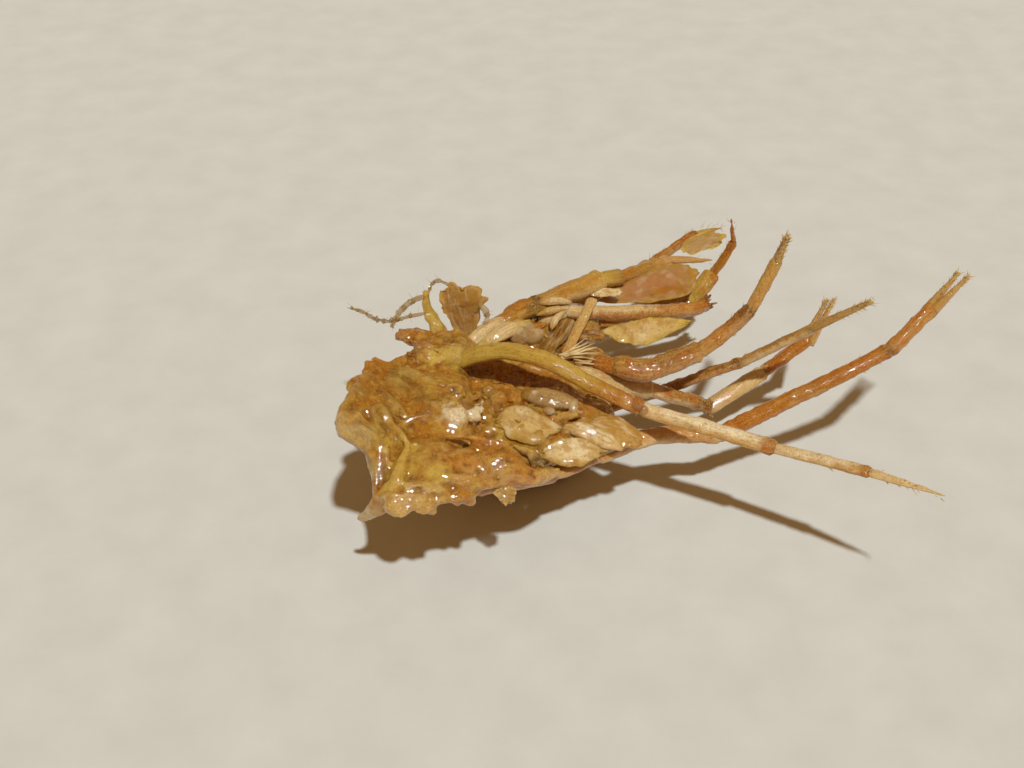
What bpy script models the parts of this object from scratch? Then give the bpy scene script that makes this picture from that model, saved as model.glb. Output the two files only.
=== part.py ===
"""Deep-fried head of a kuruma prawn, life size: the floor of the head with its legs, lying
belly side up on its back keel, the ten walking legs fanned out to one side.

Frame: millimetres turned into metres at the end. +X runs along the legs, +Y away from the
near row of legs, +Z up. The origin is on the ground, in the flat under the keel.
"""

import math
import random

import bmesh
import bpy
from mathutils import Matrix, Vector, noise

MM = 0.001
GAP = 0.3  # clear space between two nodes that meet

FLESH_VOXEL = 1.1
CRUST_ROUGHNESS = 0.45

# The torn sheet behind the body, and where a thin slot parts it from the body
TAIL_THICKNESS = 1.1
TAIL_CUT_X = -7.6
TAIL_CUT_Y = 4.6

# Flat pieces: the web on the far fifth leg, the leaf-like far second leg, a gill blade
WEB_CENTRE = (19.4, 22.4, 11.0)
WEB_SIZE = (3.6, 1.6, 0.35)
WEB_BEARING = 36
WEB_ROLL = 20
LEAF_CENTRE = (16.5, 15.9, 8.0)
LEAF_SIZE = (5.1, 1.05, 0.35)
LEAF_BEARING = 29
BLADE_CENTRE = (-2.9, 9.2, 16.2)
BLADE_SIZE = (2.1, 0.4, 2.0)
BLADE_BEARING = 5
BLADE_RISE = -10

CLEARANCE_SIDES = 12
CURVE_SIDES = 2  # bevel resolution: 8 sides round a limb
CAP = 0.3  # length in mm over which a limb's end turns square to its joint
COLLAR = 1.12  # swelling at a joint, as a share of the limb's thickness
WAIST = 0.84  # narrowing just beside a joint
TIP_THICKNESS = 0.22
TAPERED = ("dactyl", "tip", "brush")

# Each limb: the place (x, y, z in mm) where its centreline starts, and its segments as
# (name, length mm, heading deg from +X towards +Y, rise deg, thickness mm).
LIMBS = {
    "leg_near_5": (
        (-3.8, 2.0, 14.0),
        (
            ("basis", 5.7, -15, 26, 2.4),
            ("ischium", 5.1, -27, 6, 2.0),
            ("merus_inner", 5.1, -22, -18, 1.8),
            ("merus_outer", 5.8, -17, -20, 1.65),
            ("carpus", 13.5, -24, -2, 1.6),
            ("propodus", 9.4, -33, 8, 1.2),
            ("dactyl", 7.1, -38, 8, 0.95),
        ),
    ),
    "leg_near_3": (
        (-1.6, -15.1, 12.2),
        (
            ("basis_inner", 3.2, 26, -15, 2.2),
            ("basis_outer", 6.6, 33, -16, 1.8),
            ("ischium", 5.3, 30, 1, 1.45),
            ("merus_inner", 6.7, 31, -3, 1.8),
            ("merus_outer", 7.2, 13, -9, 1.9),
            ("carpus_inner", 4.9, 13, 24, 1.8),
            ("carpus_middle", 6.1, 9, 27, 1.75),
            ("carpus_outer", 8.4, 16, 22, 1.5),
            ("palm", 6.4, 34, 30, 1.5),
            ("fingers", 4.7, 24, 45, 0.75),
        ),
    ),
    "leg_near_4": (
        (8.6, 3.9, 10.8),
        (
            ("ischium_root", 1.8, 11, -13, 1.8),
            ("ischium", 7.2, 8, -17, 1.85),
            ("merus_inner", 8.3, 13, -28, 1.75),
            ("merus_outer", 7.5, 29, 18, 1.7),
            ("carpus", 6.3, 18, 33, 1.5),
            ("propodus", 5.2, 38, 57, 0.75),
        ),
    ),
    "leg_near_2": (
        (9.9, 5.9, 4.5),
        (
            ("ischium_root", 3.6, 11, 5, 1.5),
            ("ischium", 5.4, 17, 8, 1.3),
            ("merus", 10.2, -7, 29, 1.25),
            ("carpus", 9.0, -15, 40, 1.2),
            ("fingers", 7.4, -29, 43, 0.75),
        ),
    ),
    "leg_near_1": (
        (11.5, 4.2, 12.3),
        (
            ("ischium", 2.2, -20, 5, 1.8),
            ("merus_inner", 3.6, -6, -1, 2.5),
            ("merus_outer", 5.4, 18, 12, 2.3),
            ("carpus_inner", 3.8, 20, 33, 1.7),
            ("carpus_outer", 3.4, -5, 53, 1.6),
            ("palm", 5.7, 44, 51, 1.3),
            ("fingers", 3.0, -4, 77, 0.7),
        ),
    ),
    "leg_far_1": (
        (5.6, 11.5, 12.0),
        (
            ("coxa", 1.3, 17, 55, 1.4),
            ("basis", 2.2, 19, 11, 1.5),
            ("ischium", 3.6, 30, -23, 1.6),
            ("merus", 7.2, 29, -17, 1.8),
            ("carpus", 7.2, 27, -14, 1.8),
            ("stump", 2.7, 41, -9, 1.5),
        ),
    ),
    "leg_far_5": (
        (-1.3, 9.4, 12.0),
        (
            ("coxa", 2.9, 11, 32, 1.8),
            ("basis", 4.1, 36, 7, 1.6),
            ("ischium", 3.9, 32, 2, 1.8),
            ("merus", 6.1, 40, -3, 2.0),
            ("knee", 3.3, 37, -15, 1.6),
            ("carpus", 4.7, 49, -12, 1.5),
            ("propodus", 4.1, 40, -7, 1.4),
            ("dactyl", 6.0, 19, -11, 1.1),
        ),
    ),
    "leg_far_4": (
        (3.8, 13.7, 7.6),
        (
            ("ischium", 8.2, 33, -4, 1.8),
            ("merus_inner", 8.3, 32, -3, 1.9),
            ("merus_outer", 6.8, 18, 5, 2.0),
            ("carpus", 3.9, 37, 37, 1.9),
            ("propodus_inner", 2.5, 15, 57, 1.2),
            ("propodus_outer", 2.1, 20, 64, 0.95),
            ("dactyl", 3.1, 176, 79, 0.75),
        ),
    ),
    "leg_far_3": (
        (3.1, 13.3, 9.8),
        (
            ("ischium", 12.7, 41, 0, 1.6),
            ("merus", 8.6, 43, 3, 1.5),
            ("carpus", 7.8, 36, 12, 1.15),
            ("dactyl", 3.0, -6, 18, 0.75),
        ),
    ),
    "leg_far_2": (
        (8.6, 12.4, 9.2),
        (
            ("petiole", 4.6, 26, -3, 0.9),
        ),
    ),
    "maxilliped_far": (
        (8.2, 6.2, 12.3),
        (
            ("palp", 7.6, 65, 20, 0.9),
        ),
    ),
    "maxilliped_near": (
        (5.9, 3.3, 12.7),
        (
            ("palp", 3.5, 24, 13, 1.5),
            ("brush", 3.0, 27, 2, 1.0),
        ),
    ),
    "gill_stalk": (
        (-4.4, 6.4, 12.5),
        (
            ("base", 2.4, 135, 58, 1.5),
            ("middle", 2.3, 137, 40, 1.3),
            ("neck", 2.1, 102, 72, 0.9),
        ),
    ),
    "gill_hook": (
        (-6.65, 9.05, 17.7),
        (
            ("first", 1.7, -147, 0, 0.6),
            ("second", 1.4, -143, -21, 1.1),
            ("third", 1.5, -125, -20, 0.9),
            ("tip", 1.2, -97, -23, 0.7),
        ),
    ),
    "gill_whip": (
        (-6.55, 8.45, 15.95),
        (
            ("first", 2.9, -144, 10, 0.7),
            ("second", 1.5, -151, 0, 0.6),
            ("third", 2.4, 147, -12, 0.6),
            ("spindle", 2.0, 138, 0, 0.8),
            ("tip", 1.6, 180, 18, 0.55),
        ),
    ),
    "gill_plume": (
        (-6.65, 9.1, 17.55),
        (
            ("first", 1.4, 59, 45, 0.55),
            ("second", 0.9, -3, 33, 0.7),
            ("third", 1.4, -9, -22, 0.6),
            ("fourth", 2.1, 30, -44, 0.6),
            ("tip", 1.9, 16, -52, 0.55),
        ),
    ),
    "gill_curl": (
        (-1.9, 9.4, 15.2),
        (
            ("first", 1.3, -7, 49, 0.9),
            ("second", 1.2, -56, 1, 0.85),
            ("third", 1.0, -67, -75, 0.8),
            ("fourth", 1.1, -171, -67, 0.7),
        ),
    ),
    "gill_leaf": (
        (-2.6, 8.2, 13.4),
        (
            ("petiole", 2.6, 110, 66, 0.9),
        ),
    ),
}

# Limbs that the body leaves room for: limb, first and last segment
CLEARED = (
    ("leg_near_5", "ischium", "merus_outer"),
    ("leg_near_3", "ischium", "merus_inner"),
    ("leg_near_4", "ischium_root", "merus_inner"),
    ("leg_near_2", "ischium_root", "merus"),
    ("leg_near_1", "ischium", "merus_inner"),
    ("leg_far_1", "coxa", "merus"),
    ("leg_far_5", "ischium", "merus"),
    ("leg_far_4", "ischium", "merus_inner"),
    ("leg_far_3", "ischium", "merus"),
    ("leg_far_2", "petiole", "petiole"),
    ("maxilliped_far", "palp", "palp"),
    ("maxilliped_near", "palp", "brush"),
    ("gill_stalk", "base", "neck"),
    ("gill_leaf", "petiole", "petiole"),
)

# Soft lumps of the body: name, centre, half sizes along, across and up in mm, bearing, rise
LUMPS = (
    ("keel", (3.0, 2.2, 5.7), (10.5, 6.5, 7.0), 12, 0),
    ("keel_near", (-1.0, -5.0, 9.6), (8.0, 6.6, 4.2), 0, 0),
    ("belly", (0.0, -2.5, 11.0), (10.5, 9.5, 2.9), 15, 0),
    ("rear", (-5.3, -4.6, 13.4), (4.4, 8.0, 2.7), 8, 0),
    ("rear_far", (-4.4, 4.4, 13.0), (4.0, 3.2, 2.2), 50, 0),
    ("far_coxae", (1.5, 9.0, 11.2), (6.5, 3.2, 2.3), 38, 0),
    ("far_bases", (6.9, 13.2, 9.8), (6.4, 4.2, 3.0), 40, 0),
    ("near_coxa_5", (-5.3, -13.0, 12.9), (3.6, 4.0, 2.4), 20, 0),
    ("near_coxa_4", (-0.9, -12.5, 12.8), (5.6, 2.6, 2.6), -4, -8),
    ("near_fringe", (-5.2, -16.4, 12.5), (4.8, 1.8, 1.1), 4, 0),
    ("near_coxa_3", (4.6, -6.8, 12.3), (3.4, 1.8, 1.6), -25, 0),
    ("near_coxa_2", (8.2, -3.2, 10.9), (4.6, 3.4, 2.0), 10, 0),
    ("near_coxa_1", (9.0, -7.4, 10.7), (3.8, 1.2, 1.0), 8, 0),
    ("fore_near", (5.5, 1.6, 11.0), (6.4, 4.4, 2.4), 12, 0),
    ("fore_far", (9.5, 6.0, 9.4), (4.6, 4.0, 2.6), 20, 0),
    ("near_base_1", (9.4, 4.9, 11.8), (2.6, 1.4, 1.3), 5, 0),
)

# Hollows in the belly: centre, half sizes, bearing and rise as above
HOLLOWS = (
    ("under_the_arch", (2.0, 1.6, 14.4), (5.2, 2.0, 2.4), -12, 0),
    ("beside_the_near_row", (5.2, -11.4, 12.4), (2.6, 1.0, 2.2), 30, 0),
)

# Plates and blisters that stand on the body: as LUMPS, with a roll about the length as well
PLATES = (
    ("near_plate_inner", (4.6, -8.0, 13.5), (3.7, 1.4, 0.5), -33, -10, 25),
    ("near_plate_outer", (9.6, -8.6, 11.4), (4.2, 1.3, 0.5), 11, 0, 20),
    ("near_wedge", (11.5, -6.1, 12.3), (4.1, 1.2, 0.8), -6, -22, 0),
    ("blister_near", (6.2, -3.8, 13.9), (2.6, 1.3, 1.2), -18, -6, 0),
    ("blister_far", (3.0, 11.0, 12.7), (1.8, 1.4, 1.1), 20, 0, 0),
    ("dark_plate", (5.9, 10.9, 11.6), (3.0, 0.5, 2.7), 12, 0, 0),
    ("white_knob_1", (-1.8, -5.8, 13.9), (0.95, 0.8, 0.8), 0, 0, 0),
    ("white_knob_2", (-0.7, -6.8, 14.0), (1.1, 0.8, 0.8), 0, 0, 0),
    ("white_knob_3", (0.9, -5.6, 14.0), (0.7, 0.6, 0.9), 0, 0, 0),
)

# Crumbs of batter: centre and radius in mm
CRUMBS = (
    ("edge_ball", (-13.0, -5.4, 16.8), 0.85),
    ("edge_outer", (-12.0, -2.9, 16.4), 0.9),
    ("edge_middle", (-11.4, -2.2, 16.5), 0.9),
    ("edge_inner", (-10.8, -1.5, 16.3), 0.85),
    ("under_1", (-2.2, -15.9, 11.9), 1.05),
    ("under_2", (-3.4, -16.8, 12.2), 0.8),
    ("flake", (1.5, -14.9, 11.3), 0.95),
    ("under_3", (-5.6, -17.9, 12.2), 0.8),
)

# Edge of the torn sheet, from its far corner round both points to the near fringe
TAIL_EDGE = (
    (-7.4, 3.4, 14.6),
    (-10.0, -0.3, 15.8),
    (-11.6, -2.5, 16.2),
    (-12.8, -5.2, 16.8),
    (-13.6, -7.8, 17.0),
    (-14.2, -9.4, 17.0),
    (-14.5, -12.3, 17.3),
    (-14.1, -13.5, 16.5),
    (-12.6, -13.1, 15.5),
    (-11.5, -12.7, 14.0),
    (-10.7, -13.1, 13.2),
    (-10.9, -14.6, 12.5),
    (-10.9, -15.7, 11.0),
    (-12.1, -15.8, 8.6),
    (-10.9, -16.9, 9.5),
    (-9.6, -17.9, 11.5),
    (-8.8, -18.5, 12.6),
    (-5.6, -18.3, 12.6),
)
TAIL_ROOT_X = -4.4
TAIL_ROOT_FAR = (2.6, 13.2)
TAIL_ROOT_NEAR = (-16.4, 12.4)

# The orange lobe at the far rear corner: places and radii in mm
LOBE = (
    ((-4.6, 5.6, 12.9), 1.9),
    ((-6.9, 6.8, 13.6), 1.7),
    ((-8.6, 7.2, 14.0), 1.35),
    ((-10.0, 7.3, 14.1), 1.25),
    ((-10.9, 7.3, 14.1), 0.6),
)


def clear_scene():
    for old in list(bpy.data.objects):
        bpy.data.objects.remove(old)


def new_collection(name):
    made = bpy.data.collections.new(name)
    bpy.context.scene.collection.children.link(made)
    return made


def material(name, colour, roughness):
    """A Principled material; colour is linear red, green and blue."""
    made = bpy.data.materials.new(name)
    made.use_nodes = True
    shader = made.node_tree.nodes["Principled BSDF"]
    shader.inputs["Base Color"].default_value = (*colour, 1.0)
    shader.inputs["Roughness"].default_value = roughness
    shader.inputs["Metallic"].default_value = 0.0
    return made


def heading(bearing, rise):
    """The unit vector at a bearing from +X towards +Y and a rise above level, in degrees."""
    b, r = math.radians(bearing), math.radians(rise)
    return Vector((math.cos(r) * math.cos(b), math.cos(r) * math.sin(b), math.sin(r)))


def limb_joints(limb):
    """The joint places of a limb, from its root outwards, in mm."""
    root, segments = LIMBS[limb]
    places = [Vector(root)]
    for _, length, bearing, rise, _ in segments:
        places.append(places[-1] + heading(bearing, rise) * length)
    return places


def segment_index(limb, name):
    return [row[0] for row in LIMBS[limb][1]].index(name)


def limb_line(limb, first, last):
    """Centreline points and radii in mm from segment first to segment last, both whole.

    At a joint with a neighbour the end faces across the bend, half the gap away.
    """
    joints = limb_joints(limb)
    segments = LIMBS[limb][1]
    start, stop = segment_index(limb, first), segment_index(limb, last)
    ways = [heading(bearing, rise) for _, _, bearing, rise, _ in segments]
    points, radii = [], []
    for i in range(start, stop + 1):
        a, b = joints[i], joints[i + 1]
        half, length = segments[i][4] / 2, segments[i][1]
        tip = segments[i][0] in TAPERED
        if i == start:
            way = (ways[i - 1] + ways[i]).normalized() if i else ways[i]
            points += [a + way * GAP / 2, a + way * (GAP / 2 + CAP)]
            radii += [half * WAIST, half * WAIST]
        else:
            points.append(a)
            radii.append(half * WAIST)
        near_end = min(0.3 * length, GAP / 2 + 2 * CAP)
        for reach, radius in ((near_end, half), (length / 2, half * 1.03), (length - near_end, half * COLLAR)):
            if reach > 2 * CAP or i > start:
                points.append(a + ways[i] * reach)
                radii.append(half * (1 - 0.6 * reach / length) if tip else radius)
        if tip:
            points.append(b)
            radii.append(TIP_THICKNESS / 2)
        elif i == stop and i + 1 == len(segments):
            points.append(b)
            radii.append(half * WAIST)
        elif i == stop:
            way = (ways[i] + ways[i + 1]).normalized()
            points += [b - way * (GAP / 2 + CAP), b - way * GAP / 2]
            radii += [half * WAIST, half * WAIST]
    return points, radii


def tube(name, points, radii, resolution=CURVE_SIDES):
    """A closed mesh tube through points, in mm, with a radius in mm at each."""
    curve = bpy.data.curves.new(name, "CURVE")
    curve.dimensions = "3D"
    curve.bevel_depth = MM
    curve.bevel_resolution = resolution
    curve.use_fill_caps = True
    spline = curve.splines.new("POLY")
    spline.points.add(len(points) - 1)
    for slot, place, radius in zip(spline.points, points, radii):
        slot.co = (*(Vector(place) * MM), 1.0)
        slot.radius = radius
    guide = bpy.data.objects.new(name, curve)
    bpy.context.scene.collection.objects.link(guide)
    graph = bpy.context.evaluated_depsgraph_get()
    mesh = bpy.data.meshes.new_from_object(guide.evaluated_get(graph))
    bpy.data.objects.remove(guide)
    weld(mesh)
    return mesh


def weld(mesh):
    bm = bmesh.new()
    bm.from_mesh(mesh)
    bmesh.ops.remove_doubles(bm, verts=bm.verts, dist=0.00002)
    bmesh.ops.recalc_face_normals(bm, faces=bm.faces)
    bm.to_mesh(mesh)
    bm.free()


def lump(centre, radii, bearing=0.0, rise=0.0, roll=0.0, detail=3):
    """An ellipsoid mesh; radii are along its length, across it and up, in mm."""
    bm = bmesh.new()
    bmesh.ops.create_icosphere(bm, subdivisions=detail, radius=1.0)
    place = (
        Matrix.Translation(Vector(centre) * MM)
        @ Matrix.Rotation(math.radians(bearing), 4, "Z")
        @ Matrix.Rotation(math.radians(-rise), 4, "Y")
        @ Matrix.Rotation(math.radians(roll), 4, "X")
        @ Matrix.Diagonal((*(Vector(radii) * MM), 1.0))
    )
    bmesh.ops.transform(bm, matrix=place, verts=bm.verts)
    mesh = bpy.data.meshes.new("lump")
    bm.to_mesh(mesh)
    bm.free()
    return mesh


def box(low, high):
    """A box mesh between two corners, in mm."""
    low, high = Vector(low) * MM, Vector(high) * MM
    bm = bmesh.new()
    bmesh.ops.create_cube(bm, size=1.0)
    size = high - low
    place = Matrix.Translation((low + high) / 2) @ Matrix.Diagonal((*size, 1.0))
    bmesh.ops.transform(bm, matrix=place, verts=bm.verts)
    mesh = bpy.data.meshes.new("box")
    bm.to_mesh(mesh)
    bm.free()
    return mesh


def largest_body(mesh):
    """Keeps only the largest closed surface of a mesh."""
    bm = bmesh.new()
    bm.from_mesh(mesh)
    left = set(bm.faces)
    bodies = []
    while left:
        seed = left.pop()
        body, front = {seed}, [seed]
        while front:
            for edge in front.pop().edges:
                for face in edge.link_faces:
                    if face in left:
                        left.discard(face)
                        body.add(face)
                        front.append(face)
        bodies.append(body)
    keep = max(bodies, key=lambda faces: sum(face.calc_area() for face in faces))
    drop = [face for face in bm.faces if face not in keep]
    bmesh.ops.delete(bm, geom=drop, context="FACES")
    loose = [vert for vert in bm.verts if not vert.link_faces]
    bmesh.ops.delete(bm, geom=loose, context="VERTS")
    bmesh.ops.triangulate(bm, faces=bm.faces)
    bm.to_mesh(mesh)
    bm.free()
    return mesh


def boolean(base, others, operation):
    """base joined with, cut by, or kept inside the other closed meshes."""
    group = bpy.data.collections.new("pieces")
    bpy.context.scene.collection.children.link(group)
    for mesh in others:
        group.objects.link(bpy.data.objects.new("piece", mesh))
    body = bpy.data.objects.new("base", base)
    bpy.context.scene.collection.objects.link(body)
    modifier = body.modifiers.new("join", "BOOLEAN")
    modifier.operation = operation
    modifier.solver = "MANIFOLD"
    modifier.operand_type = "COLLECTION"
    modifier.collection = group
    graph = bpy.context.evaluated_depsgraph_get()
    made = bpy.data.meshes.new_from_object(body.evaluated_get(graph))
    for piece in list(group.objects):
        bpy.data.objects.remove(piece)
    bpy.data.collections.remove(group)
    bpy.data.objects.remove(body)
    return made


def fuse(meshes):
    """One closed mesh of the pieces."""
    return largest_body(boolean(meshes[0], meshes[1:], "UNION"))


def remesh(meshes, voxel):
    """The pieces melted into one soft surface of even facets; voxel in mm."""
    bm = bmesh.new()
    for mesh in meshes:
        bm.from_mesh(mesh)
    joined = bpy.data.meshes.new("flesh")
    bm.to_mesh(joined)
    bm.free()
    body = bpy.data.objects.new("flesh", joined)
    bpy.context.scene.collection.objects.link(body)
    modifier = body.modifiers.new("melt", "REMESH")
    modifier.mode = "VOXEL"
    modifier.voxel_size = voxel * MM
    smooth = body.modifiers.new("relax", "SMOOTH")
    smooth.iterations = 2
    smooth.factor = 0.5
    graph = bpy.context.evaluated_depsgraph_get()
    made = bpy.data.meshes.new_from_object(body.evaluated_get(graph))
    bpy.data.objects.remove(body)
    return made


def roughen(mesh, height, size):
    """Moves each vertex along its normal by smooth noise: height and size in mm."""
    bm = bmesh.new()
    bm.from_mesh(mesh)
    bm.normal_update()
    moves = []
    for vert in bm.verts:
        at = vert.co / (size * MM)
        moves.append(vert.normal * noise.noise(at) * height * MM)
    for vert, move in zip(bm.verts, moves):
        vert.co += move
    bm.to_mesh(mesh)
    bm.free()
    return mesh


def add_node(collection, name, mesh, finish, smooth_angle=40.0):
    mesh.name = name
    mesh.materials.clear()
    mesh.materials.append(finish)
    mesh.shade_smooth()
    mesh.set_sharp_from_angle(angle=math.radians(smooth_angle))
    node = bpy.data.objects.new(name, mesh)
    collection.objects.link(node)
    return node


def limb_mesh(limb, first, last):
    return tube(limb, *limb_line(limb, first, last))


def clearance(limb, first, last):
    """The room round each segment of a limb that the body leaves clear, as closed meshes."""
    joints = limb_joints(limb)
    segments = LIMBS[limb][1]
    rooms = []
    for i in range(segment_index(limb, first), segment_index(limb, last) + 1):
        radius = segments[i][4] / 2 * COLLAR + GAP
        way = (joints[i + 1] - joints[i]).normalized() * GAP
        room = [joints[i] - way, joints[i + 1] + way]
        rooms.append(tube("room", room, [radius / math.cos(math.pi / CLEARANCE_SIDES)] * 2, 4))
    return rooms


def pincer(limb, segment, spread, thickness):
    """Two fingers along a limb's segment, spread apart at the tips by an angle in degrees."""
    joints = limb_joints(limb)
    index = segment_index(limb, segment)
    root, tip = joints[index], joints[index + 1]
    along = (tip - root).normalized()
    side = along.cross(Vector((0, 0, 1))).normalized()
    length = (tip - root).length
    fingers = []
    for sign, reach in ((1, 1.0), (-1, 0.9)):
        points, radii = [], []
        for share in (-0.12, 0.2, 0.55, 0.85, 1.0):
            out = side * sign * (thickness * 0.42 + math.radians(spread) * share * length / 2)
            points.append(root + along * share * length * reach + out)
            radii.append(thickness / 2 * (1.0 - 0.62 * max(share, 0.0)))
        fingers.append(tube("finger", points, radii))
    return fingers


def sheet(left_edge, right_edge, thickness, across=6):
    """A thin curved plate ruled between two edges of equal length, in mm, as a closed mesh."""
    bm = bmesh.new()
    rows = []
    for a, b in zip(left_edge, right_edge):
        row = [Vector(a).lerp(Vector(b), i / across) * MM for i in range(across + 1)]
        rows.append([bm.verts.new(place) for place in row])
    for upper, lower in zip(rows, rows[1:]):
        for i in range(across):
            bm.faces.new((upper[i], upper[i + 1], lower[i + 1], lower[i]))
    bmesh.ops.triangulate(bm, faces=bm.faces)
    plate = bpy.data.meshes.new("plate")
    bm.to_mesh(plate)
    bm.free()
    body = bpy.data.objects.new("plate", plate)
    bpy.context.scene.collection.objects.link(body)
    wall = body.modifiers.new("wall", "SOLIDIFY")
    wall.thickness = thickness * MM
    wall.offset = 0.0
    graph = bpy.context.evaluated_depsgraph_get()
    made = bpy.data.meshes.new_from_object(body.evaluated_get(graph))
    bpy.data.objects.remove(body)
    weld(made)
    return made


def tail_sheet():
    """The torn pale sheet behind the body, with an upper and a lower point."""
    count = len(TAIL_EDGE) - 1
    root = []
    for i in range(count + 1):
        y = TAIL_ROOT_FAR[0] + (TAIL_ROOT_NEAR[0] - TAIL_ROOT_FAR[0]) * i / count
        z = TAIL_ROOT_FAR[1] + (TAIL_ROOT_NEAR[1] - TAIL_ROOT_FAR[1]) * i / count
        root.append((TAIL_ROOT_X, y, z))
    return sheet(TAIL_EDGE, root, TAIL_THICKNESS)


def build_body(collection, finishes):
    flesh = remesh([lump(*row[1:]) for row in LUMPS], FLESH_VOXEL)
    flesh = roughen(flesh, CRUST_ROUGHNESS, 2.2)
    flesh = boolean(flesh, [lump(*row[1:], detail=2) for row in HOLLOWS], "DIFFERENCE")
    pieces = [flesh, tail_sheet()]
    pieces.append(tube("lobe", [row[0] for row in LOBE], [row[1] for row in LOBE]))
    pieces += [lump(*row[1:], detail=2) for row in PLATES]
    pieces += [lump(place, (size, size * 0.9, size * 0.85), 30, 0, 0, 1) for _, place, size in CRUMBS]
    pieces.append(limb_mesh("leg_near_5", "basis", "basis"))
    pieces.append(limb_mesh("leg_near_3", "basis_inner", "basis_outer"))
    pieces.append(limb_mesh("leg_far_5", "coxa", "basis"))
    whole = fuse(pieces)
    cutters = [box((-40, -40, -20), (60, 60, 0))]
    for limb, first, last in CLEARED:
        cutters += clearance(limb, first, last)
    for cutter in cutters:
        whole = boolean(whole, [cutter], "DIFFERENCE")
    rear = box((-60, -40, -20), (TAIL_CUT_X + GAP / 2, TAIL_CUT_Y + GAP, 40))
    thorax = largest_body(boolean(whole.copy(), [rear], "DIFFERENCE"))
    rear = box((-60, -40, -20), (TAIL_CUT_X - GAP / 2, TAIL_CUT_Y, 40))
    tail = largest_body(boolean(whole, [rear], "INTERSECT"))
    add_node(collection, "thorax", thorax, finishes["crust"])
    add_node(collection, "tail_membrane", tail, finishes["pale_batter"])


def build_legs(collection, finishes):
    shell, straw, crust = finishes["shell"], finishes["straw"], finishes["crust"]
    plain = (
        ("leg_near_5_upper", "leg_near_5", "ischium", "merus_outer", crust),
        ("leg_near_5_lower", "leg_near_5", "carpus", "dactyl", straw),
        ("leg_near_3_upper", "leg_near_3", "ischium", "merus_outer", shell),
        ("leg_near_4_upper", "leg_near_4", "ischium_root", "merus_inner", straw),
        ("leg_near_2_upper", "leg_near_2", "ischium_root", "merus", shell),
        ("leg_near_1_upper", "leg_near_1", "ischium", "merus_outer", shell),
        ("leg_far_1", "leg_far_1", "coxa", "stump", shell),
        ("leg_far_5_upper", "leg_far_5", "ischium", "knee", shell),
        ("leg_far_4_upper", "leg_far_4", "ischium", "merus_inner", shell),
        ("leg_far_4_lower", "leg_far_4", "merus_outer", "dactyl", shell),
        ("leg_far_3_upper", "leg_far_3", "ischium", "merus", shell),
        ("leg_far_3_lower", "leg_far_3", "carpus", "dactyl", shell),
        ("maxilliped_far", "maxilliped_far", "palp", "palp", straw),
        ("maxilliped_near", "maxilliped_near", "palp", "brush", straw),
    )
    for node, limb, first, last, finish in plain:
        add_node(collection, node, limb_mesh(limb, first, last), finish)
    pincers = (
        ("leg_near_3_lower", "leg_near_3", "carpus_inner", "palm", 9),
        ("leg_near_4_lower", "leg_near_4", "merus_outer", "carpus", 3),
        ("leg_near_2_lower", "leg_near_2", "carpus", "carpus", 4),
        ("leg_near_1_lower", "leg_near_1", "carpus_inner", "palm", 8),
    )
    for node, limb, first, last, spread in pincers:
        row = LIMBS[limb][1][-1]
        pieces = [limb_mesh(limb, first, last), *pincer(limb, row[0], spread, row[4])]
        add_node(collection, node, fuse(pieces), shell)
    web = lump(WEB_CENTRE, WEB_SIZE, WEB_BEARING, -9, WEB_ROLL, 2)
    lower = [limb_mesh("leg_far_5", "carpus", "dactyl"), web]
    add_node(collection, "leg_far_5_lower", fuse(lower), shell)
    leaf = lump(LEAF_CENTRE, LEAF_SIZE, LEAF_BEARING, -7, 0, 2)
    add_node(collection, "leg_far_2", fuse([limb_mesh("leg_far_2", "petiole", "petiole"), leaf]), straw)


def build_gills(collection, finishes):
    branch = [
        limb_mesh("gill_stalk", "base", "neck"),
        limb_mesh("gill_hook", "first", "tip"),
        limb_mesh("gill_whip", "first", "tip"),
        limb_mesh("gill_plume", "first", "tip"),
    ]
    add_node(collection, "gill_branch", fuse(branch), finishes["olive"])
    blade = lump(BLADE_CENTRE, BLADE_SIZE, BLADE_BEARING, BLADE_RISE, 0, 2)
    leaf = [limb_mesh("gill_leaf", "petiole", "petiole"), blade, limb_mesh("gill_curl", "first", "fourth")]
    add_node(collection, "gill_leaf", fuse(leaf), finishes["olive"])


def main():
    clear_scene()
    collection = new_collection("fried_prawn_head")
    finishes = {
        "crust": material("crust", (0.47, 0.22, 0.05), 0.25),
        "pale_batter": material("pale_batter", (0.62, 0.40, 0.14), 0.3),
        "shell": material("shell", (0.60, 0.24, 0.06), 0.35),
        "straw": material("straw", (0.66, 0.44, 0.17), 0.35),
        "olive": material("olive", (0.50, 0.36, 0.10), 0.3),
    }
    build_body(collection, finishes)
    build_legs(collection, finishes)
    build_gills(collection, finishes)


main()
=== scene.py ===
"""The looks of the deep-fried kuruma prawn head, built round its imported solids.

Places and sizes are in millimetres in the frame of the solids: +X along the legs, +Y away from the
near row of legs, +Z up. They turn into metres where a mesh is made.
"""
import math
import random

import bmesh
import bpy
import numpy as np
from mathutils import Matrix, Vector, noise
from mathutils.bvhtree import BVHTree


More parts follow.
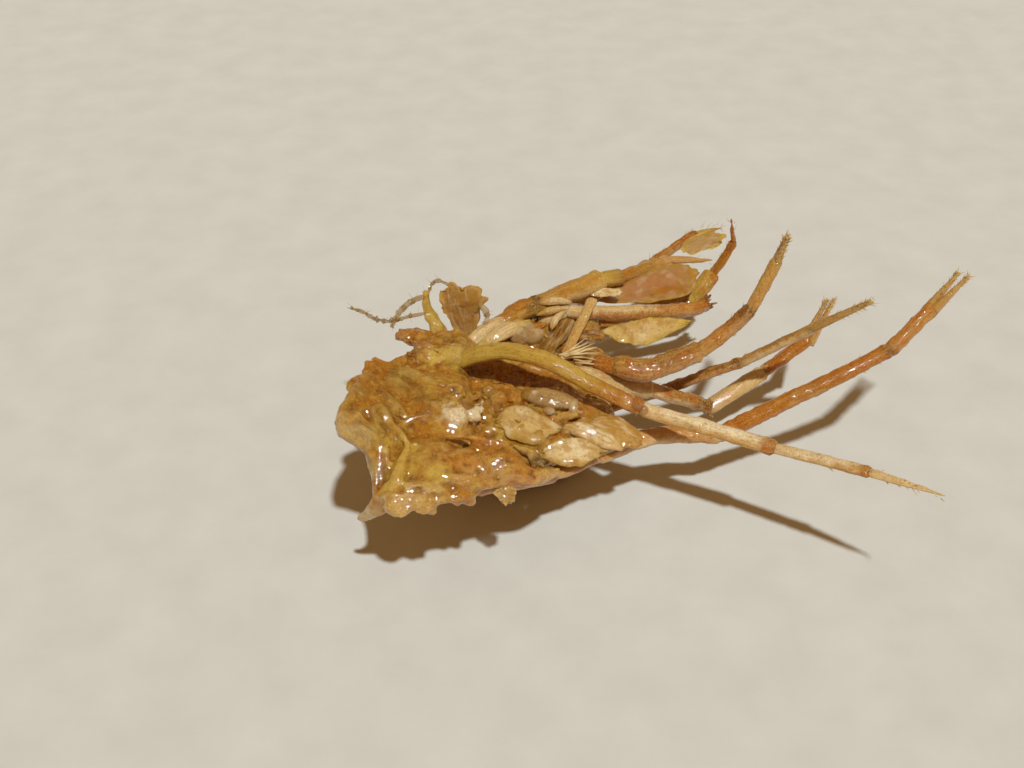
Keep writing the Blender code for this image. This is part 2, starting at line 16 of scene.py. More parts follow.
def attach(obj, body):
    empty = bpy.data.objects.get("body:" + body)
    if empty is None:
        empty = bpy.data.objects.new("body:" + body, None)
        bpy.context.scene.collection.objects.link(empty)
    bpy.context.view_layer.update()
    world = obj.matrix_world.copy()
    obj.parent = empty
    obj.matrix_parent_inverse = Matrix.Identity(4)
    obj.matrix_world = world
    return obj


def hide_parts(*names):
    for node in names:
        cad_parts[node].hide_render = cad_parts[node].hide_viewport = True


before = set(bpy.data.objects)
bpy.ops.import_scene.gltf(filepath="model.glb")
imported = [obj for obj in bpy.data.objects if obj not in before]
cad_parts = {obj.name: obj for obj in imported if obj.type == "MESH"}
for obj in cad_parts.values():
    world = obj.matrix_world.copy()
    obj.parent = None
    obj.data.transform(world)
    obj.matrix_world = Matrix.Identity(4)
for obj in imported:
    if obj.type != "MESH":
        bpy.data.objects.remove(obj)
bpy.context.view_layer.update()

MM = 0.001

# The camera, as the photograph was taken: place, how far it looks down, and its lens
CAMERA_PLACE = (2.39, -106.70, 93.20)
CAMERA_TILT = 53.0
CAMERA_LENS = 45.7
SENSOR_WIDTH = 36.0

# The lamp shines from the viewer's side, a little from the right
LAMP_WAY = (-0.16, 0.52, -1.0)
LAMP_STRENGTH = 2.76
LAMP_ANGLE = 2.6
LAMP_COLOUR = (0.85, 0.945, 1.0)
ROOM_COLOUR = (0.27, 0.155, 0.065)
FLOOR_SIZE = 3.0

# Fineness of the meshes
SKIN_VOXEL = 0.2
LIMB_STEP = 0.32
LIMB_SIDES = 20
HAIR_SIDES = 4


def tone(red, green, blue, grit=0.2):
    """A tone: the linear colour of red, green and blue from 0 to 255, and how gritty it is fried."""
    shares = [value / 255 for value in (red, green, blue)]
    light = [s / 12.92 if s <= 0.04045 else ((s + 0.055) / 1.055) ** 2.4 for s in shares]
    return Vector((*light, grit))


# The tones of fried shell, batter and oil
TONES = {
    "cream": tone(228, 198, 142, 0.1),
    "pale_straw": tone(212, 174, 108, 0.15),
    "straw": tone(198, 152, 80, 0.25),
    "batter": tone(208, 174, 74, 0.1),
    "olive": tone(166, 134, 54, 0.15),
    "lime": tone(190, 158, 64, 0.1),
    "gold": tone(176, 132, 46, 0.3),
    "crisp": tone(172, 120, 46, 0.95),
    "amber": tone(176, 108, 12, 0.45),
    "orange": tone(190, 114, 30, 0.6),
    "rust": tone(168, 90, 22, 0.8),
    "toffee": tone(148, 104, 36, 0.4),
    "brown": tone(112, 68, 20, 0.9),
    "dark": tone(56, 38, 20, 0.9),
    "chalk": tone(244, 226, 184, 0.1),
    "misty": tone(192, 168, 116, 0.1),
    "veil": tone(168, 136, 62, 0.1),
    "pink": tone(208, 158, 98, 0.25),
}

# Each limb: the place where its centreline starts, and its segments as (name, length, heading in
# degrees from +X towards +Y, rise in degrees, thickness). Parts of one segment share its first word.
LIMBS = {
    "leg_near_5": (
        (-3.8, 2.0, 14.0),
        (
            ("merus_root", 5.7, -15, 26, 2.1),
            ("merus_inner", 5.1, -27, 6, 1.8),
            ("merus_outer", 5.1, -22, -18, 1.7),
            ("merus_end", 5.8, -17, -20, 1.65),
            ("carpus", 13.5, -24, -2, 1.6),
            ("propodus", 9.4, -33, 8, 1.2),
            ("dactyl", 7.1, -38, 8, 0.95),
        ),
    ),
    "leg_near_3": (
        (-1.6, -15.1, 12.2),
        (
            ("basis_inner", 3.2, 26, -15, 2.2),
            ("basis_outer", 6.6, 33, -16, 1.8),
            ("ischium", 5.3, 30, 1, 1.45),
            ("merus_inner", 6.7, 31, -3, 1.8),
            ("merus_outer", 7.2, 13, -9, 1.9),
            ("carpus_inner", 4.9, 13, 24, 1.8),
            ("carpus_middle", 6.1, 9, 27, 1.75),
            ("carpus_outer", 8.4, 16, 22, 1.5),
            ("palm", 6.4, 34, 30, 1.5),
            ("fingers", 4.7, 24, 45, 0.75),
        ),
    ),
    "leg_near_4": (
        (8.5, 2.3, 12.0),
        (
            ("ischium_root", 1.8, 11, -13, 2.4),
            ("ischium", 8.05, 20.5, -24, 2.5),
            ("merus", 8.3, 13, -28, 1.75),
            ("blade", 7.5, 29, 18, 1.8),
            ("carpus", 6.3, 18, 33, 1.5),
            ("fingers", 5.2, 38, 57, 0.75),
        ),
    ),
    "leg_near_2": (
        (9.9, 5.9, 4.5),
        (
            ("ischium_root", 3.6, 11, 5, 1.5),
            ("ischium", 5.4, 17, 8, 1.3),
            ("merus", 10.2, -7, 29, 1.25),
            ("carpus", 9.0, -15, 40, 1.2),
            ("fingers", 7.4, -29, 43, 0.75),
        ),
    ),
    "leg_near_1": (
        (11.5, 4.2, 12.3),
        (
            ("ischium", 2.2, -20, 5, 1.8),
            ("merus_inner", 3.6, -6, -1, 2.5),
            ("merus_outer", 5.4, 18, 12, 2.3),
            ("carpus_inner", 3.8, 20, 33, 1.7),
            ("carpus_outer", 3.4, -5, 53, 1.6),
            ("palm", 5.7, 44, 51, 1.3),
            ("fingers", 3.0, -4, 77, 0.7),
        ),
    ),
    "leg_far_1": (
        (5.6, 11.5, 12.0),
        (
            ("coxa", 1.3, 17, 55, 1.4),
            ("coxa_basis", 2.2, 19, 11, 1.5),
            ("ischium", 3.6, 30, -23, 1.6),
            ("ischium_merus", 7.2, 29, -17, 1.8),
            ("ischium_carpus", 7.2, 27, -14, 1.8),
            ("ischium_stump", 2.7, 41, -9, 1.5),
        ),
    ),
    "leg_far_5": (
        (-1.3, 9.4, 12.0),
        (
            ("coxa", 2.9, 11, 32, 2.0),
            ("coxa_basis", 4.1, 36, 7, 1.9),
            ("ischium", 3.9, 32, 2, 2.3),
            ("ischium_merus", 6.1, 40, -3, 2.5),
            ("knee", 3.3, 37, -15, 1.9),
            ("carpus", 4.7, 49, -12, 1.5),
            ("carpus_propodus", 4.1, 40, -7, 1.4),
            ("dactyl", 6.0, 19, -11, 1.1),
        ),
    ),
    "leg_far_4": (
        (3.8, 13.7, 7.6),
        (
            ("ischium", 8.2, 33, -4, 1.8),
            ("merus_inner", 8.3, 32, -3, 1.9),
            ("merus_outer", 6.8, 18, 5, 2.0),
            ("carpus", 3.9, 37, 37, 1.9),
            ("propodus_inner", 2.5, 15, 57, 1.2),
            ("propodus_outer", 2.1, 20, 64, 0.95),
            ("dactyl", 3.1, 176, 79, 0.75),
        ),
    ),
    "leg_far_3": (
        (3.1, 13.3, 9.8),
        (
            ("ischium", 12.7, 41, 0, 1.6),
            ("merus", 8.6, 43, 3, 1.5),
            ("carpus", 7.8, 36, 12, 1.15),
            ("dactyl", 3.0, -6, 18, 0.75),
        ),
    ),
    "far_palp": ((8.2, 6.2, 12.3), (("palp", 7.6, 65, 20, 0.9),)),
    "gill_stalk": (
        (-4.4, 6.4, 12.5),
        (
            ("stalk", 2.4, 135, 58, 1.7),
            ("stalk_middle", 2.3, 137, 40, 1.3),
            ("stalk_neck", 2.1, 102, 72, 0.55),
        ),
    ),
    "gill_hook": (
        (-6.65, 9.05, 17.7),
        (
            ("wisp", 1.7, -147, 0, 0.9),
            ("wisp_second", 1.4, -143, -21, 1.2),
            ("wisp_third", 1.5, -125, -20, 0.9),
            ("wisp_tip", 1.2, -97, -23, 0.7),
        ),
    ),
    "gill_whip": (
        (-6.55, 8.45, 15.95),
        (
            ("wisp", 2.9, -144, 10, 0.7),
            ("wisp_second", 1.5, -151, 0, 0.6),
            ("wisp_third", 2.4, 147, -12, 0.6),
            ("wisp_spindle", 2.0, 138, 0, 0.8),
            ("wisp_tip", 1.6, 180, 18, 0.55),
        ),
    ),
    "gill_plume": (
        (-6.65, 9.1, 17.55),
        (
            ("wisp", 1.4, 59, 45, 0.55),
            ("wisp_second", 0.9, -3, 33, 0.7),
            ("wisp_third", 1.4, -9, -22, 0.6),
            ("wisp_fourth", 2.1, 30, -44, 0.6),
            ("wisp_tip", 1.9, 16, -52, 0.55),
        ),
    ),
    "gill_curl": (
        (-1.9, 9.4, 15.2),
        (
            ("curl", 1.3, -7, 49, 0.9),
            ("curl_second", 1.2, -56, 1, 0.85),
            ("curl_third", 1.0, -67, -75, 0.8),
            ("curl_fourth", 1.1, -171, -67, 0.7),
        ),
    ),
}

# The tone at each joint of a limb, from its root; where it changes there, the tone before and after
LIMB_TONES = {
    "leg_near_5": ("olive", "lime", "gold", "gold", "orange cream", "pale_straw cream", "straw cream", "cream"),
    "leg_near_3": (
        "orange", "crisp", "gold straw", "amber pink", "pink", "orange", "orange", "amber",
        "orange straw", "orange straw", "pale_straw",
    ),
    "leg_near_4": ("pale_straw", "cream", "pale_straw pink", "dark pale_straw", "pale_straw rust", "orange straw", "pale_straw"),
    "leg_near_2": ("amber", "amber", "gold crisp", "brown straw", "straw", "pale_straw"),
    "leg_near_1": ("rust", "orange crisp", "crisp", "crisp straw", "orange", "brown straw", "straw", "pale_straw"),
    "leg_far_1": ("straw", "cream", "cream", "straw", "gold", "amber", "dark"),
    "leg_far_5": ("amber", "amber", "olive", "gold", "batter", "toffee amber", "gold", "pink", "straw"),
    "leg_far_4": ("brown", "amber", "amber", "gold", "amber gold", "amber", "rust", "rust"),
    "leg_far_3": ("amber", "straw", "gold", "rust batter", "straw"),
    "far_palp": ("straw", "pale_straw"),
    "gill_stalk": ("amber", "lime", "lime", "batter"),
    "gill_hook": ("lime", "olive", "veil", "misty", "veil"),
    "gill_whip": ("lime", "olive", "veil", "veil", "olive", "veil"),
    "gill_plume": ("lime", "olive", "veil", "olive", "misty", "misty"),
    "gill_curl": ("straw", "batter", "misty", "cream", "misty"),
}

UPSIDE = (0, 0.3, 1)
UNDERSIDE = (0, -0.6, -0.8)

# Marks on a limb: row number plus share, reach in rows, side or None for all round, tone, strength
MARKS = {
    "leg_near_5": (
        # Partly painted highlight: the chalk marks on top make the pale shell palest where the lamp falls from above.
        (4.5, 0.62, UPSIDE, "chalk", 0.9),
        (4.5, 0.6, UNDERSIDE, "straw", 0.7),
        # Partly painted highlight: chalk on the top, as above.
        (5.5, 0.5, UPSIDE, "chalk", 0.6),
        (4.97, 0.07, None, "rust", 0.8),
        (5.97, 0.08, None, "rust", 0.6),
        (3.4, 0.6, UNDERSIDE, "amber", 0.6),
        (0.6, 1.2, UPSIDE, "lime", 0.8),
        (2.4, 0.9, UPSIDE, "batter", 0.6),
    ),
    "leg_near_3": (
        (1.6, 1.4, UNDERSIDE, "pink", 0.8),
        (3.6, 1.2, UNDERSIDE, "cream", 0.6),
        (3.1, 0.5, UPSIDE, "orange", 0.7),
        (5.0, 0.25, None, "cream", 0.7),
        (6.4, 1.2, UNDERSIDE, "amber", 0.7),
        (7.98, 0.1, None, "brown", 0.8),
        (8.4, 0.5, UPSIDE, "orange", 0.6),
    ),
    "leg_near_4": (
        (1.5, 0.6, UPSIDE, "straw", 0.5),
        (2.3, 0.5, UNDERSIDE, "cream", 0.7),
        (2.5, 0.4, UPSIDE, "crisp", 0.8),
        (3.9, 0.3, UPSIDE, "cream", 0.8),
        (4.5, 0.45, UNDERSIDE, "amber", 0.6),
    ),
    "leg_near_2": (
        (2.5, 0.5, UNDERSIDE, "pink", 0.7),
        (2.2, 0.4, UPSIDE, "rust", 0.5),
        (3.5, 0.5, UPSIDE, "toffee", 0.7),
        (3.4, 0.6, UNDERSIDE, "cream", 0.8),
    ),
    "leg_near_1": (
        (1.5, 0.6, UNDERSIDE, "rust", 0.8),
        (2.4, 0.9, UNDERSIDE, "pink", 0.9),
        (2.3, 0.6, UPSIDE, "brown", 0.5),
        (4.3, 0.8, UNDERSIDE, "pink", 0.9),
        (4.95, 0.12, UPSIDE, "dark", 0.9),
        (5.4, 0.3, UPSIDE, "straw", 0.8),
    ),
    "leg_far_1": (
        (3.4, 1.8, UPSIDE, "cream", 0.9),
        (3.4, 1.4, UNDERSIDE, "rust", 0.8),
        (4.9, 0.9, UPSIDE, "orange", 0.8),
        (5.9, 0.3, None, "dark", 0.9),
    ),
    "leg_far_5": (
        (0.9, 0.9, UNDERSIDE, "straw", 0.6),
        (2.0, 0.35, UPSIDE, "dark", 0.8),
        (3.2, 0.9, UNDERSIDE, "cream", 0.6),
        (3.4, 0.8, UPSIDE, "orange", 0.4),
    ),
    "leg_far_4": (
        (3.5, 0.6, UPSIDE, "batter", 0.7),
        (4.0, 0.3, UNDERSIDE, "rust", 0.8),
    ),
    "leg_far_3": ((2.5, 0.6, UPSIDE, "rust", 0.8), (2.5, 0.6, UNDERSIDE, "misty", 0.8)),
}


def heading(bearing, rise):
    """The unit vector at a bearing from +X towards +Y and a rise above level, in degrees."""
    b, r = math.radians(bearing), math.radians(rise)
    return Vector((math.cos(r) * math.cos(b), math.cos(r) * math.sin(b), math.sin(r)))


def limb_joints(limb):
    """The joint places of a limb, from its root outwards."""
    root, rows = LIMBS[limb]
    places = [Vector(root)]
    for _, length, bearing, rise, _ in rows:
        places.append(places[-1] + heading(bearing, rise) * length)
    return places


def limb_segments(limb):
    """The first and last row of each whole segment of a limb, with its name."""
    segments = []
    for index, row in enumerate(LIMBS[limb][1]):
        stem = row[0].split("_")[0]
        if segments and segments[-1][0] == stem:
            segments[-1][2] = index
        else:
            segments.append([stem, index, index])
    return segments


def new_bmesh():
    """An empty mesh whose vertices carry a tint and a place in the grain of the shell."""
    bm = bmesh.new()
    bm.verts.layers.float_color.new("tint")
    bm.verts.layers.float_vector.new("grain")
    return bm


def join(bm, part):
    """Adds the geometry of part to bm, and gives its vertices there. A small part made by itself
    is made much faster than inside a large bm."""
    mesh = bpy.data.meshes.new("part")
    part.to_mesh(mesh)
    part.free()
    count = len(bm.verts)
    bm.from_mesh(mesh)
    bpy.data.meshes.remove(mesh)
    bm.verts.ensure_lookup_table()
    return bm.verts[count:]


def paint(bm, verts, tint, grain=None):
    tints = bm.verts.layers.float_color["tint"]
    grains = bm.verts.layers.float_vector["grain"]
    for vert in verts:
        vert[tints] = tint
        vert[grains] = grain or vert.co / MM


def smooth_step(value):
    value = min(max(value, 0.0), 1.0)
    return value * value * (3 - 2 * value)


def curved_line(places, step):
    """Places about a step apart on a smooth line through the given ones, and each one's share of
    the row that it lies in, as (place, row number plus share)."""
    ends = [places[0] * 2 - places[1], *places, places[-1] * 2 - places[-2]]
    line = []
    for row in range(len(places) - 1):
        a, b, c, d = ends[row:row + 4]
        count = max(2, math.ceil((c - b).length / step))
        for i in range(count):
            t = i / count
            even = b * 2 + (c - a) * t
            even += (a * 2 - b * 5 + c * 4 - d) * t ** 2
            even += (b * 3 - a - c * 3 + d) * t ** 3
            line.append((even / 2, row + t))
    line.append((places[-1].copy(), len(places) - 1.0))
    return line


def between(values, position):
    """The value at a position such as 2.4 in a list, straight between its neighbours."""
    low = min(int(position), len(values) - 1)
    high = min(low + 1, len(values) - 1)
    return values[low] * (1 - position + low) + values[high] * (position - low)


def turned_frames(places, up=Vector((0, 0, 1))):
    """Across, up and along at each place, turning as little as it can from one to the next."""
    frames = []
    for i in range(len(places)):
        along = (places[min(i + 1, len(places) - 1)] - places[max(i - 1, 0)]).normalized()
        across = along.cross(up)
        if across.length < 0.15:
            across = along.cross(Vector((0, 1, 0)))
        across.normalize()
        up = across.cross(along).normalized()
        frames.append((across, up, along))
    return frames


def sweep(bm, places, sizes, tints, sides=LIMB_SIDES, ribs=(0, 0.0), start=0.0, up=Vector((0, 0, 1))):
    """Adds a closed tube to bm. Each place has a half width and half height, and a tint. Ribs are
    how many ridges run along it and how deep they are, as a share of its size."""
    tube = new_bmesh()
    tint_layer = tube.verts.layers.float_color["tint"]
    grain_layer = tube.verts.layers.float_vector["grain"]
    ring = bmesh.ops.create_circle(tube, segments=sides, radius=1.0)["verts"]
    corners = [vert.co.copy() for vert in ring]
    first = ring
    travelled = start
    for i, (place, size, tint, turn) in enumerate(zip(places, sizes, tints, turned_frames(places, up))):
        if i:
            travelled += (place - places[i - 1]).length
            edges = [tube.edges.get((a, b)) for a, b in zip(ring, ring[1:] + ring[:1])]
            grown = set(bmesh.ops.extrude_edge_only(tube, edges=edges)["geom"])
            ring = [next(e.other_vert(v) for e in v.link_edges if e.other_vert(v) in grown) for v in ring]
        across, raised, _ = turn
        for vert, corner in zip(ring, corners):
            rib = 1.0 + ribs[1] * math.cos(ribs[0] * math.atan2(corner.y, corner.x))
            offset = across * corner.x * size[0] * rib + raised * corner.y * size[1] * rib
            vert.co = (place + offset) * MM
            vert[tint_layer] = tint
            vert[grain_layer] = (travelled, corner.x, corner.y)
    for end in (first, ring):
        edges = [tube.edges.get((a, b)) for a, b in zip(end, end[1:] + end[:1])]
        bmesh.ops.edgeloop_fill(tube, edges=edges)
    return join(bm, tube)


def roughen(verts, height, size, seed=0.0, tints=None):
    """Moves vertices along their normals by smooth noise: height and size in mm. With the layer of
    tints, gritty places move most."""
    shift = Vector((seed, seed * 1.7, -seed))
    moves = []
    for vert in verts:
        share = 0.4 + 1.4 * vert[tints][3] if tints else 1.0
        moves.append(vert.normal * noise.noise(vert.co / (size * MM) + shift) * height * share * MM)
    for vert, move in zip(verts, moves):
        vert.co += move


def segment_radius(run, length, half, tip, collar):
    """The half thickness at run mm along a segment: a start tucked into the joint before it, and a
    swollen rim at its end, or a fine tip."""
    if tip:
        return half * max(0.14, (1.0 - (run / length) ** 1.5 * 0.86)) * (0.86 + 0.14 * smooth_step(run / 0.8))
    start = 0.93 + 0.07 * smooth_step(run / min(1.2, length * 0.3))
    rim = collar * math.exp(-(((length - run) - 0.45) / 0.4) ** 2)
    lip = 0.78 + 0.22 * smooth_step((length - run) / 0.22)
    return half * (start + rim) * lip


def mark(bm, limb, verts, places, spots):
    """Lays a limb's marks over its tints, with ragged borders; the chalk marks on the top of leg_near_5 are partly
    painted highlight.
    """
    tints = bm.verts.layers.float_color["tint"]
    for number, vert in enumerate(verts):
        ring = number // LIMB_SIDES
        out = (vert.co / MM - places[ring]).normalized()
        drift = noise.noise(vert.co / MM * 1.6) + 0.5 * noise.noise(vert.co / MM * 4.0)
        for spot, reach, side, name, strength in MARKS.get(limb, ()):
            share = 1.7 * (1.0 - abs(spots[ring] - spot) / reach) + drift
            if side:
                share = min(share, 0.35 + 1.3 * out.dot(Vector(side).normalized()) + drift)
            vert[tints] = Vector(vert[tints]).lerp(TONES[name], smooth_step(share) * strength)


def add_segment(bm, limb, stem, first, last, flat, ribs, seed, collar=0.04):
    """One whole segment of a limb as a closed tube, tucked into the one before it."""
    rows = LIMBS[limb][1]
    joints = limb_joints(limb)[first:last + 2]
    thick = [rows[i][4] for i in range(first, last + 1)]
    middles = [thick[0], *[(a + b) / 2 for a, b in zip(thick, thick[1:])], thick[-1]]
    names = [name.split() for name in LIMB_TONES[limb][first:last + 2]]
    tones = [*[TONES[pair[-1]] for pair in names[:-1]], TONES[names[-1][0]]]
    into = (joints[1] - joints[0]).normalized()
    line = curved_line(joints, LIMB_STEP)
    tip = stem in ("dactyl", "brush", "wisp", "curl")
    total = sum((b[0] - a[0]).length for a, b in zip(line, line[1:]))
    places, sizes, tints, spots = [joints[0] - into * 0.5], [], [tones[0]], [float(first)]
    sizes.append((middles[0] * 0.36, middles[0] * 0.36))
    run, before = 0.0, line[0][0]
    for place, position in line:
        run += (place - before).length
        before = place
        half = between(middles, position) / 2
        radius = segment_radius(run, total, half, tip, collar)
        wobble = 1 + 0.09 * noise.noise(Vector((run * 0.6, seed, 0)))
        sway = Vector([noise.noise(Vector((run * 0.3, seed, k))) for k in (1, 2, 3)]) * half * 0.14
        inner = min(run, total - run) / 1.5
        places.append(place + sway * min(inner, 1.0))
        sizes.append((radius * wobble * (1 + flat), radius * wobble * (1 - flat)))
        tints.append(between(tones, position))
        spots.append(first + position)
    end = (places[-1] - places[-2]).normalized()
    places.append(places[-1] + end * 0.06)
    sizes.append((sizes[-1][0] * 0.6, sizes[-1][1] * 0.6))
    tints.append(tints[-1])
    spots.append(spots[-1])
    verts = sweep(bm, places, sizes, tints, ribs=ribs, start=seed)
    mark(bm, limb, verts, places, spots)
    return verts, line


def hair(bm, root, way, length, thick, tint, bend=Vector((0, 0, 0))):
    """A fine tapering hair from a root."""
    places = [root + way * length * t + bend * length * t * t for t in (-0.05, 0.35, 0.7, 1.0)]
    sizes = [(thick / 2 * s, thick / 2 * s) for s in (1.0, 0.85, 0.6, 0.2)]
    sweep(bm, places, sizes, [tint] * 4, sides=HAIR_SIDES)


def bristle(bm, dice, places, half, count, length, tint, lean=0.8, side=None, thick=0.09):
    """Scatters hairs over a tube through places: lean tips them forward, side keeps them on one side."""
    frames = turned_frames(places)
    for _ in range(count):
        share = dice.random()
        i = min(int(share * (len(places) - 1)), len(places) - 2)
        place = places[i].lerp(places[i + 1], dice.random())
        across, up, along = frames[i]
        angle = dice.uniform(0, math.tau)
        out = across * math.cos(angle) + up * math.sin(angle)
        if side is not None and out.dot(side) < 0.3:
            out = (out + side * 1.6).normalized()
        way = (out + along * lean + Vector([dice.uniform(-0.2, 0.2) for _ in range(3)])).normalized()
        hair(bm, place + out * half * 0.8, way, length * dice.uniform(0.5, 1.2), thick, tint, along * 0.2)


def lump(bm, centre, radii, bearing=0.0, rise=0.0, roll=0.0, tint=TONES["gold"], detail=4):
    """Adds an ellipsoid to bm: half sizes along its length, across it and up."""
    ball = new_bmesh()
    bmesh.ops.create_icosphere(ball, subdivisions=detail, radius=1.0)
    place = (
        Matrix.Translation(Vector(centre) * MM)
        @ Matrix.Rotation(math.radians(bearing), 4, "Z")
        @ Matrix.Rotation(math.radians(-rise), 4, "Y")
        @ Matrix.Rotation(math.radians(roll), 4, "X")
        @ Matrix.Diagonal((*(Vector(radii) * MM), 1.0))
    )
    bmesh.ops.transform(ball, matrix=place, verts=ball.verts)
    paint(ball, ball.verts, tint)
    return join(bm, ball)


def thicken(bm, verts, thick):
    """Makes a sheet of verts into a closed flake. Each vertex has its own thickness in mm."""
    bm.normal_update()
    ways = {tuple(vert.co): vert.normal * deep * MM for vert, deep in zip(verts, thick)}
    faces = list({face for vert in verts for face in vert.link_faces})
    for part in bmesh.ops.extrude_face_region(bm, geom=faces)["geom"]:
        if isinstance(part, bmesh.types.BMVert):
            part.co -= ways[tuple(part.co)]


def spot_on(places, share):
    """The place at a share of a smooth line through the given places."""
    ends = [places[0] * 2 - places[1], *places, places[-1] * 2 - places[-2]]
    position = share * (len(places) - 1)
    row = min(int(position), len(places) - 2)
    a, b, c, d = ends[row:row + 4]
    t = position - row
    even = b * 2 + (c - a) * t + (a * 2 - b * 5 + c * 4 - d) * t ** 2 + (b * 3 - a - c * 3 + d) * t ** 3
    return even / 2


# How far the corners of a flake are rounded off, and how far the middle of a laid one stands up
ROUNDED = 0.3
LAID_HEIGHT = 0.32


def height_under(ground, place):
    """The height in mm of the surface under a place, or None beside it."""
    hit = ground.ray_cast(Vector((place.x, place.y, 40 * MM)), Vector((0, 0, -1)))[0]
    return hit.z / MM if hit else None


def flake(bm, rows, thick, tints, ragged=0.2, bulge=0.3, seed=0.0, fine=44, ground=None):
    """A thin crisp flake through two or more rows of places, thinning out to a torn edge. tints are
    the tones of its middle and its edge. With a ground, it is laid down on that surface."""
    lines = [[Vector(place) for place in row] for row in rows]
    made = bmesh.ops.create_grid(bm, x_segments=fine, y_segments=fine // 2, size=0.5)["verts"]
    tint_layer = bm.verts.layers.float_color["tint"]
    grain_layer = bm.verts.layers.float_vector["grain"]
    long = (lines[0][0] - lines[0][-1]).length
    wide = (lines[0][0] - lines[-1][0]).length
    spots, deep = [], []
    for vert in made:
        u, v = vert.co.x * 2, vert.co.y * 2
        rim = max(abs(u), abs(v))
        tear = 1.0 - ragged * rim ** 4 * (0.15 + noise.noise(Vector((u * 1.9, v * 1.9, seed))))
        tear -= 0.35 * ragged * rim ** 6 * noise.noise(Vector((u * 4.6, v * 4.6, seed + 3)))
        round_u = u * math.sqrt(1 - ROUNDED * v * v) * tear
        round_v = v * math.sqrt(1 - ROUNDED * u * u) * tear
        deep.append(thick * (1 - 0.8 * rim ** 5))
        across = [spot_on(line, round_u / 2 + 0.5) for line in lines]
        vert.co = spot_on(across, round_v / 2 + 0.5) * MM
        shade = TONES[tints[0]].lerp(TONES[tints[1]], smooth_step(rim * 1.5 - 0.6))
        vert[tint_layer] = shade
        vert[grain_layer] = (round_u * long / 2 + seed, round_v * wide / 2, rim)
        spots.append((u, v))
    bm.normal_update()
    for vert, (u, v) in zip(made, spots):
        rise = bulge * (1 - u * u) * (1 - v * v)
        rise += 0.16 * noise.noise(vert.co / MM * 0.8 + Vector((seed, 0, 0)))
        rise += 0.07 * noise.noise(vert.co / MM * 2.6 + Vector((seed, 0, 0)))
        vert.co += vert.normal * rise * MM
    if ground:
        floors = [height_under(ground, vert.co) for vert in made]
        gaps = [vert.co.z / MM - floor for vert, floor in zip(made, floors) if floor is not None]
        drop = sum(gaps) / len(gaps) - LAID_HEIGHT
        for vert, floor, (u, v) in zip(made, floors, spots):
            vert.co.z -= drop * MM
            gap = 0.0 if floor is None else vert.co.z / MM - floor + 0.1
            rim = smooth_step(max(-u, abs(v)) * 3 - 2) * smooth_step(2 - 2 * u)
            vert.co.z -= max(0.0, gap) * rim * 0.4 * MM
    thicken(bm, made, deep)


# Soft lumps of the body: centre, half sizes along, across and up, bearing, rise
LUMPS = (
    ((3.0, 2.2, 5.7), (10.5, 6.5, 7.0), 12, 0),
    ((-1.0, -5.0, 9.6), (8.0, 6.6, 4.2), 0, 0),
    ((0.0, -2.5, 11.0), (10.5, 9.5, 2.9), 15, 0),
    ((-5.3, -4.6, 13.2), (4.2, 7.6, 2.6), 8, 0),
    ((-4.4, 4.4, 13.0), (4.0, 3.2, 2.2), 50, 0),
    ((1.5, 9.0, 11.2), (6.5, 3.2, 2.0), 38, 0),
    ((6.9, 13.2, 9.8), (6.4, 4.2, 2.8), 40, 0),
    ((-5.3, -13.0, 12.7), (3.6, 4.0, 2.2), 20, 0),
    ((-0.4, -13.4, 13.3), (4.3, 2.1, 1.7), -4, -3),
    ((2.4, -13.9, 12.8), (2.6, 1.2, 1.1), 8, -16),
    ((-5.0, -16.2, 12.4), (4.6, 1.6, 0.9), 4, 0),
    ((4.2, -7.2, 12.0), (3.4, 2.2, 1.6), -25, 0),
    ((8.2, -3.2, 10.9), (4.6, 3.4, 1.9), 10, 0),
    ((9.6, -7.0, 10.6), (3.8, 1.7, 1.3), 8, 0),
    ((5.5, 1.6, 10.6), (6.4, 4.4, 2.2), 12, 0),
    ((9.5, 6.0, 9.4), (4.6, 4.0, 2.6), 20, 0),
    ((9.4, 4.9, 11.6), (2.6, 1.4, 1.2), 5, 0),
)

# Knobs and crumbs on the skin: centre and radius
KNOBS = (
    ((-13.0, -5.5, 16.8), 0.8),
    ((-12.5, -4.8, 16.8), 0.7),
    ((-13.3, -6.1, 16.9), 0.45),
    ((-12.0, -2.9, 16.4), 0.75),
    ((-11.4, -2.2, 16.5), 0.8),
    ((-10.8, -1.5, 16.3), 0.75),
    ((-11.9, -2.1, 16.8), 0.5),
    ((-11.3, -1.2, 16.7), 0.45),
    ((-3.5, -8.4, 15.3), 0.85),
    ((-2.7, -7.9, 15.4), 0.7),
    ((-3.0, -9.0, 15.1), 0.65),
    ((-2.2, -8.7, 15.0), 0.5),
    ((-1.4, -7.4, 14.7), 0.75),
    ((-0.8, -6.7, 14.8), 0.65),
    ((-0.9, -7.9, 14.6), 0.5),
    ((-0.5, -5.8, 14.9), 0.4),
    ((-2.2, -16.0, 11.9), 0.95),
    ((-2.7, -16.9, 11.8), 0.6),
    ((-1.5, -16.4, 11.5), 0.6),
    ((-1.9, -16.6, 12.3), 0.45),
    ((2.6, -3.8, 13.7), 1.1),
    ((1.2, -4.4, 13.9), 0.9),
    ((3.4, -3.0, 13.8), 0.8),
)

